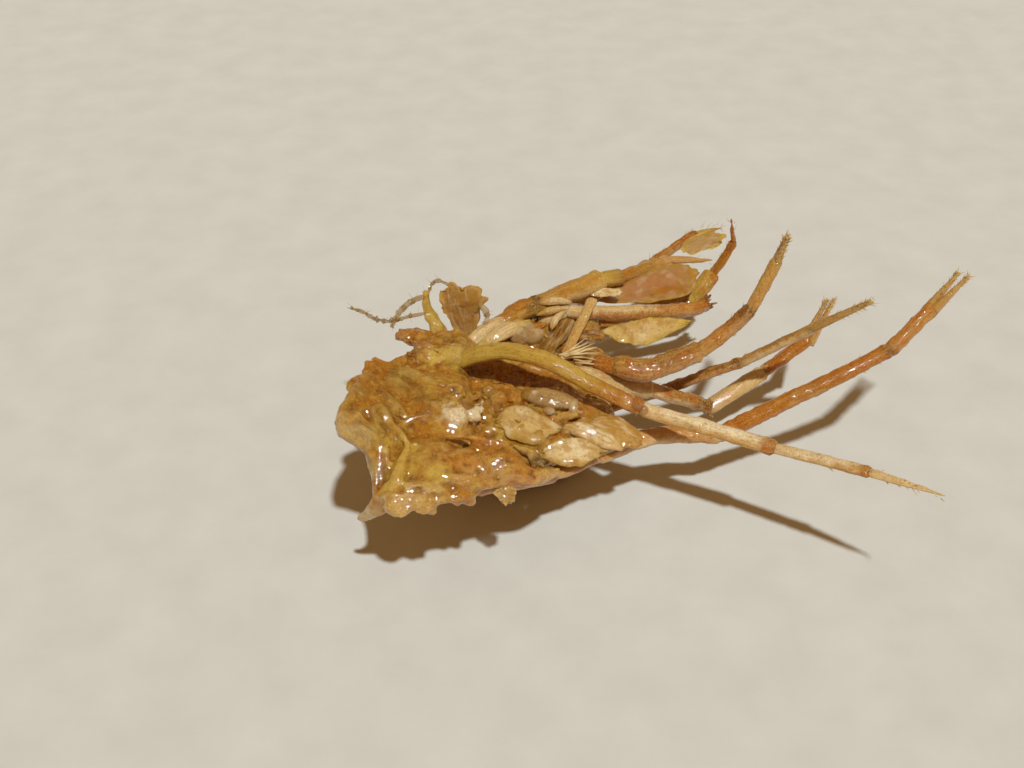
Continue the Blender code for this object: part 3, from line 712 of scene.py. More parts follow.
# Folds and ridges on the skin: places of each, and its half thickness
RIDGES = (
    (((-13.9, -12.4, 17.3), (-12.1, -10.6, 17.1), (-10.1, -7.9, 16.4)), 0.4),
    (((-10.1, -7.9, 16.4), (-9.1, -9.9, 15.6), (-7.9, -11.2, 15.0), (-7.4, -12.4, 14.5)), 0.42),
    (((-7.6, -12.4, 14.5), (-7.9, -13.9, 14.1), (-8.3, -16.0, 13.5), (-9.2, -16.8, 12.4)), 0.6),
    (((-8.2, -9.8, 15.2), (-7.2, -9.0, 15.4), (-5.9, -8.4, 15.6)), 0.34),
    (((-14.0, -12.9, 17.1), (-12.8, -12.6, 16.6), (-11.4, -12.0, 16.3), (-10.4, -12.1, 15.7)), 0.42),
    (((-6.6, -14.9, 14.0), (-3.2, -15.9, 13.7), (0.4, -15.7, 12.9), (3.0, -14.5, 12.2)), 0.62),
    (((-4.2, -11.3, 15.1), (-1.6, -11.5, 15.1), (1.4, -12.0, 14.5), (3.6, -12.6, 13.4)), 0.45),
    (((-4.6, 5.6, 12.9), (-6.9, 6.6, 13.6), (-8.6, 6.9, 14.0), (-10.0, 7.2, 14.2)), 1.2),
    (((-10.0, -1.6, 15.4), (-8.0, -2.0, 15.4), (-6.2, -3.2, 15.3), (-4.6, -4.2, 15.0)), 0.9),
    (((-8.4, 0.9, 15.0), (-6.6, 1.2, 15.2), (-4.8, 0.3, 15.1)), 0.9),
    (((-7.9, 2.8, 14.6), (-6.4, 3.3, 14.9), (-4.9, 2.8, 14.8)), 0.8),
    (((-6.4, 0.6, 14.3), (-4.6, 1.7, 14.6), (-2.9, 1.9, 14.9), (-1.3, 1.5, 15.4)), 1.5),
    (((0.4, -14.4, 12.7), (3.0, -14.3, 12.2), (5.3, -13.2, 11.8), (7.0, -11.9, 11.3)), 0.8),
    (((-6.6, -6.4, 15.7), (-5.2, -7.4, 15.8), (-4.0, -7.0, 15.7)), 0.45),
    (((-4.4, -5.0, 15.8), (-3.6, -4.2, 15.9), (-2.5, -4.5, 15.7), (-2.4, -5.4, 15.6), (-3.3, -5.9, 15.7),
      (-4.3, -5.6, 15.7)), 0.26),
    (((5.2, -6.6, 13.1), (7.2, -6.2, 13.3), (9.2, -5.2, 13.1)), 0.5),
    (((2.4, -10.2, 13.2), (4.2, -10.9, 12.7), (6.2, -11.0, 12.0)), 0.45),
    (((-2.0, 6.6, 13.3), (0.6, 8.6, 13.4), (3.0, 10.8, 13.0)), 0.7),
)

# Thin straps and frills of the skin: places, half width, half thickness, and the way they face
STRAPS = (
    (((-8.4, -16.3, 13.0), (-9.8, -16.8, 11.5), (-11.0, -16.5, 9.9), (-12.1, -15.8, 8.6)), 1.05, 0.36, (0.3, -0.7, 0.6)),
    (((-10.4, -12.4, 14.4), (-10.0, -14.4, 12.9), (-9.9, -16.2, 11.4)), 1.3, 0.34, (-0.4, -0.7, 0.6)),
    (((-8.8, -13.6, 13.6), (-8.9, -15.2, 12.9), (-9.2, -16.6, 12.0)), 0.9, 0.5, (-0.2, -0.5, 0.8)),
    (((-9.0, -17.9, 12.9), (-7.8, -18.7, 12.5), (-6.7, -18.0, 12.8), (-5.6, -18.6, 12.3), (-4.6, -17.7, 12.7)),
     0.85, 0.28, (0, -0.9, 0.5)),
    (((-5.8, -17.7, 12.4), (-5.0, -18.1, 11.9), (-4.5, -18.2, 11.5)), 0.75, 0.4, (0, -0.9, 0.4)),
    (((-7.6, -16.9, 13.6), (-6.2, -16.5, 13.8), (-4.8, -16.9, 13.5), (-3.6, -16.6, 13.2)), 0.7, 0.3, (0, 0.3, 1)),
    (((-10.4, -6.4, 16.5), (-8.9, -7.6, 15.8), (-7.8, -9.4, 15.1)), 0.9, 0.35, (-0.2, 0.4, 1)),
)

# Places strewn with crisp scraps: centre, reach, how many, and their size
SCRAPS = (
    ((3.2, -7.0), 5.0, 40, 0.6),
    ((8.6, -4.6), 3.6, 26, 0.55),
    ((0.2, -3.8), 3.2, 18, 0.5),
    ((-6.0, -17.2), 2.4, 8, 0.4),
    ((4.6, 10.2), 4.4, 30, 0.6),
    ((-3.6, 4.6), 3.0, 16, 0.6),
    ((9.8, 7.6), 3.6, 20, 0.6),
    ((-6.6, 1.4), 3.0, 14, 0.5),
    ((-9.0, 6.8), 2.0, 10, 0.5),
    ((-11.6, -2.6), 1.6, 8, 0.45),
    ((-2.0, -7.9), 2.0, 14, 0.4),
    ((0.0, 1.5), 4.0, 18, 0.6),
)

# Hollows in the skin: centre, half sizes, bearing
HOLLOWS = (
    ((2.0, 1.0, 14.4), (6.2, 2.3, 2.6), -12),
    ((5.2, -11.6, 12.6), (1.9, 0.9, 3.2), 26),
    ((-1.6, -5.2, 16.2), (1.6, 0.7, 1.4), -30),
    ((7.4, -7.2, 13.8), (2.6, 0.5, 1.4), -8),
    ((-3.4, -5.0, 16.2), (0.7, 0.45, 0.8), -10),
    ((-8.0, -8.6, 16.2), (0.9, 0.8, 1.2), 20),
    ((-10.9, -10.2, 17.4), (0.8, 1.3, 1.3), 40),
)

# Edge of the torn sheet, from its far corner round its point to the near fringe
TAIL_EDGE = (
    (-7.4, 3.4, 14.6),
    (-10.0, -0.3, 15.8),
    (-11.6, -2.5, 16.2),
    (-12.8, -5.2, 16.8),
    (-13.6, -7.8, 17.0),
    (-14.2, -9.4, 17.0),
    (-14.5, -12.3, 17.2),
    (-14.0, -13.4, 16.6),
    (-12.7, -13.2, 15.7),
    (-11.6, -12.9, 14.4),
    (-10.9, -13.4, 13.3),
    (-10.9, -14.8, 12.5),
    (-10.7, -16.0, 11.4),
    (-9.9, -17.3, 11.6),
    (-8.8, -18.3, 12.6),
    (-5.6, -18.1, 12.6),
)
TAIL_ROOT = ((-4.4, 2.6, 13.2), (-4.4, -16.4, 12.4))
TAIL_THICKNESS = 1.0
TAIL_SAG = 0.35

# Stains of the surface, and the painted shade in the hole between the body and the base of leg_near_3: place, reach,
# tone and strength
STAINS_AND_HOLE_SHADE = (
    ((-11.6, -6.0, 16.8), 3.6, "toffee", 0.8),
    ((-9.6, -3.6, 16.0), 2.4, "toffee", 0.6),
    ((-13.8, -12.2, 17.3), 1.7, "misty", 0.8),
    ((-12.4, -11.0, 17.0), 1.4, "straw", 0.7),
    ((-12.0, -12.4, 16.4), 1.5, "misty", 0.6),
    ((-10.4, -9.9, 15.9), 1.5, "veil", 0.9),
    ((-10.2, -12.0, 15.2), 1.2, "veil", 0.8),
    ((-10.0, -14.4, 13.0), 1.7, "veil", 0.8),
    ((-10.6, -15.6, 12.2), 1.1, "toffee", 0.7),
    ((-8.0, -12.6, 14.4), 1.7, "batter", 0.95),
    ((-7.9, -14.4, 14.0), 1.6, "batter", 0.95),
    ((-8.4, -16.4, 13.3), 1.6, "batter", 0.9),
    ((-11.6, -16.2, 9.7), 2.2, "misty", 0.9),
    ((-7.2, -18.0, 12.8), 2.2, "pale_straw", 0.8),
    ((-4.4, -17.8, 12.2), 1.6, "straw", 0.8),
    ((-5.4, -16.6, 13.6), 1.6, "pale_straw", 0.6),
    ((-1.7, -13.4, 15.0), 2.8, "orange", 0.9),
    ((1.6, -13.8, 14.2), 2.8, "crisp", 0.9),
    ((-4.2, -13.6, 14.9), 1.6, "amber", 0.6),
    ((-3.0, -12.8, 15.2), 1.0, "straw", 0.9),
    ((-1.8, -12.7, 15.1), 0.7, "pale_straw", 0.8),
    ((-5.0, -15.2, 13.9), 1.4, "batter", 0.9),
    ((-2.4, -15.9, 13.6), 1.4, "straw", 0.8),
    ((0.8, -15.5, 12.9), 1.6, "straw", 0.8),
    ((3.4, -14.0, 12.6), 2.2, "orange", 0.9),
    # Painted shade: the dark tone fills the hole between the body and the base of leg_near_3, where shade falls.
    ((5.2, -11.2, 11.2), 1.4, "dark", 0.9),
    ((5.8, -13.0, 11.8), 1.6, "straw", 0.9),
    ((-2.2, -16.4, 11.7), 1.3, "orange", 0.9),
    ((-9.4, 7.0, 14.4), 2.8, "rust", 1.0),
    ((-6.2, 6.2, 13.8), 2.4, "amber", 0.8),
    ((-12.8, -5.2, 17.0), 1.1, "amber", 0.9),
    ((-11.4, -2.2, 16.6), 1.9, "amber", 0.8),
    ((-6.6, 0.8, 15.6), 3.2, "amber", 0.8),
    ((-5.0, 3.6, 14.6), 2.6, "toffee", 0.9),
    ((-7.6, 2.6, 15.2), 2.0, "brown", 0.8),
    ((-8.6, -3.0, 15.8), 1.5, "veil", 0.8),
    ((-7.9, -8.9, 15.3), 1.0, "brown", 0.8),
    ((-8.5, -7.0, 15.6), 1.2, "olive", 0.8),
    ((-6.4, -5.4, 16.0), 1.6, "toffee", 0.5),
    ((-5.0, -10.6, 15.2), 2.2, "amber", 0.6),
    ((-3.1, -8.4, 15.4), 1.6, "chalk", 1.0),
    ((-1.1, -7.2, 15.0), 1.5, "chalk", 1.0),
    ((-1.8, -6.6, 15.0), 0.9, "dark", 0.6),
    ((-2.2, -6.4, 15.2), 1.0, "straw", 0.7),
    ((-3.2, -5.0, 15.8), 1.1, "toffee", 0.6),
    ((-8.0, -2.0, 16.2), 1.7, "veil", 0.8),
    ((-3.4, 1.6, 15.4), 2.0, "lime", 1.0),
    ((-5.6, 1.2, 15.2), 1.6, "batter", 1.0),
    ((-1.0, -2.0, 14.2), 3.0, "toffee", 0.8),
    ((1.6, 0.4, 13.4), 3.6, "amber", 0.95),
    ((4.8, 0.6, 13.0), 3.0, "amber", 0.95),
    ((7.4, 1.0, 12.6), 2.4, "rust", 0.6),
    ((2.4, -4.0, 13.9), 2.0, "amber", 1.0),
    ((8.6, -3.4, 13.0), 2.4, "orange", 0.9),
    ((6.6, -7.6, 13.0), 1.6, "amber", 0.9),
    ((2.0, -9.9, 14.0), 2.2, "batter", 0.7),
    ((-1.2, -9.6, 15.0), 1.6, "straw", 0.6),
    ((3.0, 2.0, 3.0), 9.0, "amber", 0.6),
    ((6.2, 12.0, 11.6), 4.2, "toffee", 0.6),
    ((1.6, 9.4, 12.8), 3.0, "amber", 0.6),
    ((9.0, 6.4, 11.0), 3.4, "brown", 0.6),
)


def tail_sheet(bm):
    """The torn sheet behind the body, ruled from its root to its edge, and sagging between them."""
    made = bmesh.ops.create_grid(bm, x_segments=51, y_segments=16, size=0.5)["verts"]
    edge = [Vector(place) for place in TAIL_EDGE]
    near, far = Vector(TAIL_ROOT[1]), Vector(TAIL_ROOT[0])
    for vert in made:
        u, v = vert.co.x + 0.5, vert.co.y + 0.5
        rim = between(edge, u * (len(edge) - 1))
        sag = Vector((0, 0, TAIL_SAG * math.sin(math.pi * v)))
        vert.co = (far.lerp(near, u).lerp(rim, v) - sag) * MM
    thicken(bm, made, [TAIL_THICKNESS] * len(made))


def melted(bm, voxel):
    """The closed pieces in bm melted into one surface of even facets."""
    bmesh.ops.recalc_face_normals(bm, faces=bm.faces)
    mesh = bpy.data.meshes.new("melting")
    bm.to_mesh(mesh)
    bm.free()
    body = bpy.data.objects.new("melting", mesh)
    bpy.context.scene.collection.objects.link(body)
    modifier = body.modifiers.new("melt", "REMESH")
    modifier.mode = "VOXEL"
    modifier.voxel_size = voxel * MM
    graph = bpy.context.evaluated_depsgraph_get()
    made = bpy.data.meshes.new_from_object(body.evaluated_get(graph))
    bpy.data.objects.remove(body)
    whole = new_bmesh()
    whole.from_mesh(made)
    bpy.data.meshes.remove(made)
    return whole


def carve(bm, centre, radii, bearing):
    """Presses a hollow into the surface from above."""
    place = (
        Matrix.Translation(Vector(centre) * MM)
        @ Matrix.Rotation(math.radians(bearing), 4, "Z")
        @ Matrix.Diagonal((*(Vector(radii) * MM), 1.0))
    )
    back = place.inverted()
    for vert in bm.verts:
        inside = back @ vert.co
        if inside.length < 1.0:
            inside.z = -math.sqrt(max(0.0, 1 - inside.x ** 2 - inside.y ** 2))
            vert.co = place @ inside


def relax(bm, times, factor=0.5):
    for _ in range(times):
        bmesh.ops.smooth_vert(bm, verts=bm.verts, factor=factor, use_axis_x=True, use_axis_y=True, use_axis_z=True)


def sow_scraps(bm, dice):
    """Strews crisp scraps of flesh over the surface that lies uppermost."""
    ground = BVHTree.FromBMesh(bm)
    for (x, y), reach, count, size in SCRAPS:
        for _ in range(count):
            way, far = dice.uniform(0, math.tau), reach * math.sqrt(dice.random())
            above = Vector((x + math.cos(way) * far, y + math.sin(way) * far, 40)) * MM
            place = ground.ray_cast(above, Vector((0, 0, -1)))[0]
            if place:
                long = size * dice.uniform(0.6, 1.6)
                radii = (long, long * dice.uniform(0.35, 0.7), long * dice.uniform(0.2, 0.45))
                turn = dice.uniform(-60, 60)
                lump(bm, place / MM, radii, turn, dice.uniform(-35, 35), dice.uniform(-40, 40), detail=2)


# Where the flesh is crumpled most: centre, reach across and how much; elsewhere it is smooth
CRUMPLED = (
    ((4.5, -4.0), 8.0, 0.9),
    ((5.5, 9.5), 7.5, 0.9),
    ((-5.0, 3.5), 5.0, 0.6),
    ((-9.6, 7.0), 3.4, 0.8),
    ((-12.4, -3.4), 2.4, 0.5),
)
SMOOTH_SHARE = 0.12


def crumple(verts, height, size, seed):
    """Moves vertices out by folded noise, which makes soft crumbs with sharp creases between them."""
    shift = Vector((seed, seed * 1.7, -seed))
    moves = []
    for vert in verts:
        place = vert.co / MM
        share = SMOOTH_SHARE
        for (x, y), reach, most in CRUMPLED:
            share = max(share, most * smooth_step(1.5 - 1.5 * math.hypot(place.x - x, place.y - y) / reach))
        folded = abs(noise.noise(place / size + shift)) + 0.5 * abs(noise.noise(place / size * 2.1 - shift))
        moves.append(vert.normal * (folded - 0.3) * height * share * MM)
    for vert, move in zip(verts, moves):
        vert.co += move


def body_skin():
    """The one skin of the body and of the torn sheet behind it."""
    bm = new_bmesh()
    for centre, radii, bearing, rise in LUMPS:
        lump(bm, centre, radii, bearing, rise)
    tail_sheet(bm)
    sow_scraps(bm, random.Random(5))
    for centre, radius in KNOBS:
        lump(bm, centre, (radius, radius * 0.9, radius * 0.85), 30, detail=3)
    for places, half in RIDGES:
        line = [place for place, _ in curved_line([Vector(p) for p in places], 0.4)]
        count = len(line)
        sizes = [(half * (0.55 + 0.45 * math.sin(math.pi * i / (count - 1))),) * 2 for i in range(count)]
        sweep(bm, line, sizes, [TONES["gold"]] * count, sides=12)
    for places, wide, thick, facing in STRAPS:
        line = [place for place, _ in curved_line([Vector(p) for p in places], 0.4)]
        count = len(line)
        sizes = [(wide * (1 - 0.55 * (i / (count - 1)) ** 2), thick) for i in range(count)]
        sweep(bm, line, sizes, [TONES["gold"]] * count, sides=16, up=Vector(facing))
    bm = melted(bm, SKIN_VOXEL)
    relax(bm, 2)
    for row in HOLLOWS:
        carve(bm, *row)
    relax(bm, 3)
    bm.normal_update()
    roughen(bm.verts, 0.3, 2.6)
    for height, size, seed in ((0.6, 1.9, 3.0), (0.34, 0.75, 7.0)):
        bm.normal_update()
        crumple(bm.verts, height, size, seed)
    for vert in bm.verts:
        vert.co.z = max(vert.co.z, 0.0)
    paint(bm, bm.verts, TONES["gold"])
    return bm


def mesh_places(mesh):
    places = np.empty(len(mesh.vertices) * 3)
    mesh.vertices.foreach_get("co", places)
    return places.reshape(-1, 3) / MM


def depths(mesh, rounds):
    """How far each vertex lies below its surroundings in mm, or above them where it is under 0."""
    places = mesh_places(mesh)
    edges = np.empty(len(mesh.edges) * 2, dtype=np.int64)
    mesh.edges.foreach_get("vertices", edges)
    first, second = edges.reshape(-1, 2).T
    ends, others = np.concatenate((first, second)), np.concatenate((second, first))
    near = np.maximum(np.bincount(ends, minlength=len(places)), 1)
    even = places.copy()
    for _ in range(rounds):
        sums = [np.bincount(ends, weights=even[others, k], minlength=len(places)) for k in range(3)]
        even = np.stack(sums, axis=1) / near[:, None]
    normals = np.empty(len(mesh.vertices) * 3)
    mesh.vertices.foreach_get("normal", normals)
    return ((even - places) * normals.reshape(-1, 3)).sum(axis=1)


def mesh_tints(mesh):
    tints = np.empty(len(mesh.vertices) * 4)
    mesh.attributes["tint"].data.foreach_get("color", tints)
    return tints.reshape(-1, 4)


def lay_stains_and_shade(mesh, stains_and_shade):
    """Lays stains, and the painted shade among them, over the tints of a mesh, with ragged borders."""
    places, tints = mesh_places(mesh), mesh_tints(mesh)
    drift = np.array([noise.noise_vector(Vector(p) * 0.9) + noise.noise_vector(Vector(p) * 2.4) * 0.4 for p in places])
    for centre, reach, name, strength in stains_and_shade:
        apart = np.linalg.norm(places + drift * 0.8 - np.array(centre), axis=1) / reach
        share = np.clip((1.15 - apart) * 1.8, 0, 1) * strength
        tints += (np.array(TONES[name]) - tints) * share[:, None]
    mesh.attributes["tint"].data.foreach_set("color", tints.ravel())


def crease_shade_and_pale_edges(mesh):
    """Darkens the creases, partly as the thicker fried batter there and partly as painted shade standing in for the
    shade that gathers in them, and makes the thin raised edges paler, as thin batter is.
    """
    tints = mesh_tints(mesh)
    fine, broad = depths(mesh, 10), depths(mesh, 70)
    # Painted shade: the deeper a vertex lies below its surroundings, the darker its tint becomes below.
    deep = np.clip(fine / 0.05, 0, 1) * 0.5 + np.clip(broad / 0.5, 0, 1) * 0.5
    raised = np.clip(-fine / 0.07, 0, 1) * 0.2 + np.clip(-broad / 0.6, 0, 1) * 0.1
    tints[:, :3] *= 1 - deep[:, None] * np.array((0.5, 0.68, 0.92))
    tints[:, :3] += (np.array(TONES["pale_straw"])[:3] - tints[:, :3]) * raised[:, None]
    tints[:, 3] = np.clip(tints[:, 3] + deep * 0.4, 0, 1)
    mesh.attributes["tint"].data.foreach_set("color", tints.ravel())


def finish_piece(name, bm, materials, nodes=()):
    """Turns bm into a piece that rides on the body and stands for its nodes."""
    bmesh.ops.recalc_face_normals(bm, faces=bm.faces)
    mesh = bpy.data.meshes.new(name)
    bm.to_mesh(mesh)
    bm.free()
    mesh.shade_smooth()
    for material in materials:
        mesh.materials.append(material)
    piece = bpy.data.objects.new(name, mesh)
    bpy.context.scene.collection.objects.link(piece)
    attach(piece, "root")
    if nodes:
        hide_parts(*nodes)
    return piece


def hair_faces(bm, count):
    """The faces after the first count are hairs, and take the second material."""
    bm.faces.ensure_lookup_table()
    for face in bm.faces[count:]:
        face.material_index = 1


# How each limb is drawn: its nodes, flatness, ribs, hairs a segment, and material slot
LIMB_LOOKS = {
    "leg_near_5": (("leg_near_5_upper", "leg_near_5_lower"), 0.16, (4, 0.05), 6, "straw"),
    "leg_near_3": (("leg_near_3_upper", "leg_near_3_lower"), 0.06, (3, 0.03), 6, "shell"),
    "leg_near_4": (("leg_near_4_upper", "leg_near_4_lower"), 0.12, (4, 0.04), 8, "shell"),
    "leg_near_2": (("leg_near_2_upper", "leg_near_2_lower"), 0.08, (4, 0.06), 8, "shell"),
    "leg_near_1": (("leg_near_1_upper", "leg_near_1_lower"), 0.05, (3, 0.04), 26, "shell"),
    "leg_far_1": (("leg_far_1",), 0.02, (3, 0.02), 4, "shell"),
    "leg_far_5": (("leg_far_5_upper", "leg_far_5_lower"), 0.05, (3, 0.03), 4, "shell"),
    "leg_far_4": (("leg_far_4_upper", "leg_far_4_lower"), 0.18, (3, 0.04), 10, "shell"),
    "leg_far_3": (("leg_far_3_upper", "leg_far_3_lower"), 0.1, (3, 0.03), 6, "shell"),
    "far_palp": (("maxilliped_far",), 0.3, (3, 0.05), 0, "straw"),
}

# The angle between a leg's two fingers, in degrees
FINGER_SPREAD = {"leg_near_3": 9, "leg_near_4": 3, "leg_near_2": 4, "leg_near_1": 8}


def fingers(bm, limb, first, dice):
    """The two bristly fingers at the end of a leg, side by side out of its palm."""
    root, tip = limb_joints(limb)[first:first + 2]
    palm = LIMBS[limb][1][first - 1][4]
    along = (tip - root).normalized()
    side = along.cross(Vector((0, 0, 1))).normalized()
    length = (tip - root).length
    spread = math.radians(FINGER_SPREAD[limb])
    tones = [TONES[name.split()[-1]] for name in LIMB_TONES[limb][first:first + 2]]
    lines = []
    for sign, reach in ((1, 1.0), (-1, 0.92)):
        places, sizes, tints = [], [], []
        for i in range(20):
            share = -0.12 + 1.12 * i / 19
            ahead = max(share, 0)
            out = side * sign * (palm * (0.27 - 0.12 * ahead) + spread * ahead * length / 2)
            places.append(root + along * share * length * reach + out)
            half = palm * (0.30 - 0.2 * ahead) * (1 + 0.12 * noise.noise(Vector((i * 0.7, sign, 1))))
            sizes.append((half, half * 1.2))
            tints.append(between(tones, ahead))
        sweep(bm, places, sizes, tints, sides=12, ribs=(2, 0.08))
        lines.append(places)
    count = len(bm.faces)
    for places in lines:
        bristle(bm, dice, places[4:], palm * 0.2, 30, 0.45, TONES["pale_straw"], 0.9, thick=0.07)
        bristle(bm, dice, places[13:], palm * 0.12, 26, 0.5, TONES["pale_straw"], 1.2, thick=0.07)
    return count


# Limbs that end in a torn stump, and the tone of its shreds
TORN_ENDS = {"leg_far_1": "dark", "leg_near_4": "brown"}


def torn_end(bm, dice, places, half, tint):
    """Short shreds round the broken end of a segment through places."""
    across, up, along = turned_frames(places)[-1]
    for i in range(11):
        angle = math.tau * i / 11 + dice.uniform(-0.2, 0.2)
        out = across * math.cos(angle) + up * math.sin(angle)
        way = (along + out * dice.uniform(-0.2, 0.5)).normalized()
        hair(bm, places[-1] + out * half * 0.7 - along * 0.3, way, dice.uniform(0.6, 1.3), 0.55, tint, out * 0.1)


# Rows of setae: limb, first and last row number plus share, side, how many, length, thickness
FRINGES = (
    ("leg_near_1", 1.6, 3.0, (-0.2, 0.5, 1), 60, 0.75, 0.07),
    ("leg_near_1", 1.2, 2.6, (0, 0.9, -0.2), 20, 0.7, 0.07),
    ("leg_near_5", 5.0, 7.0, UNDERSIDE, 34, 0.35, 0.06),
    ("leg_near_2", 4.2, 5.0, UPSIDE, 16, 0.5, 0.07),
    ("leg_near_3", 8.0, 9.6, UNDERSIDE, 22, 0.4, 0.06),
    ("leg_far_3", 1.8, 4.0, (0, -0.4, 0.9), 40, 0.8, 0.05),
    ("leg_far_4", 4.0, 6.0, (-1, 0, 0.2), 26, 0.6, 0.05),
    ("leg_near_4", 4.0, 5.0, UPSIDE, 10, 0.4, 0.06),
)


def build_limb(limb, materials):
    nodes, flat, ribs, hairs, slot = LIMB_LOOKS[limb]
    dice = random.Random(limb)
    bm = new_bmesh()
    lines = []
    ends = []
    for number, (stem, first, last) in enumerate(limb_segments(limb)):
        if stem == "fingers":
            ends.append(first)
            continue
        collar = 0.0 if LIMBS[limb][1][min(last + 1, len(LIMBS[limb][1]) - 1)][0] == "fingers" else 0.04
        _, line = add_segment(bm, limb, stem, first, last, flat, ribs, number * 3.7 + len(limb), collar)
        lines.append(([place for place, _ in line], LIMBS[limb][1][first][4] / 2))
        if limb in TORN_ENDS and LIMBS[limb][1][last][0] in ("ischium_stump", "merus"):
            torn_end(bm, dice, lines[-1][0], LIMBS[limb][1][last][4] / 2, TONES[TORN_ENDS[limb]])
    bm.normal_update()
    roughen(bm.verts, 0.09, 0.8, len(limb), bm.verts.layers.float_color["tint"])
    bm.normal_update()
    roughen(bm.verts, 0.06, 0.35, len(limb) + 4, bm.verts.layers.float_color["tint"])
    starts = [fingers(bm, limb, first, dice) for first in ends]
    count = starts[0] if starts else len(bm.faces)
    for places, half in lines:
        amount = round(hairs * (places[-1] - places[0]).length / 6)
        bristle(bm, dice, places, half, amount, 0.5, TONES["straw"], 1.2, thick=0.07)
    for name, low, high, side, amount, length, thick in FRINGES:
        if name == limb:
            line = curved_line(limb_joints(limb), 0.3)
            places = [place for place, position in line if low <= position <= high]
            half = LIMBS[limb][1][int((low + high) / 2)][4] / 2
            bristle(bm, dice, places, half, amount, length, TONES["straw"], 0.7, Vector(side).normalized(), thick)
    hair_faces(bm, count)
    return finish_piece(limb.replace("leg_near_", "near_leg_").replace("leg_far_", "far_leg_"),
                        bm, materials, nodes)


def build_skin(materials):
    skin = finish_piece("body_skin", body_skin(), materials, ("thorax", "tail_membrane"))
    lay_stains_and_shade(skin.data, STAINS_AND_HOLE_SHADE)
    crease_shade_and_pale_edges(skin.data)
    return skin


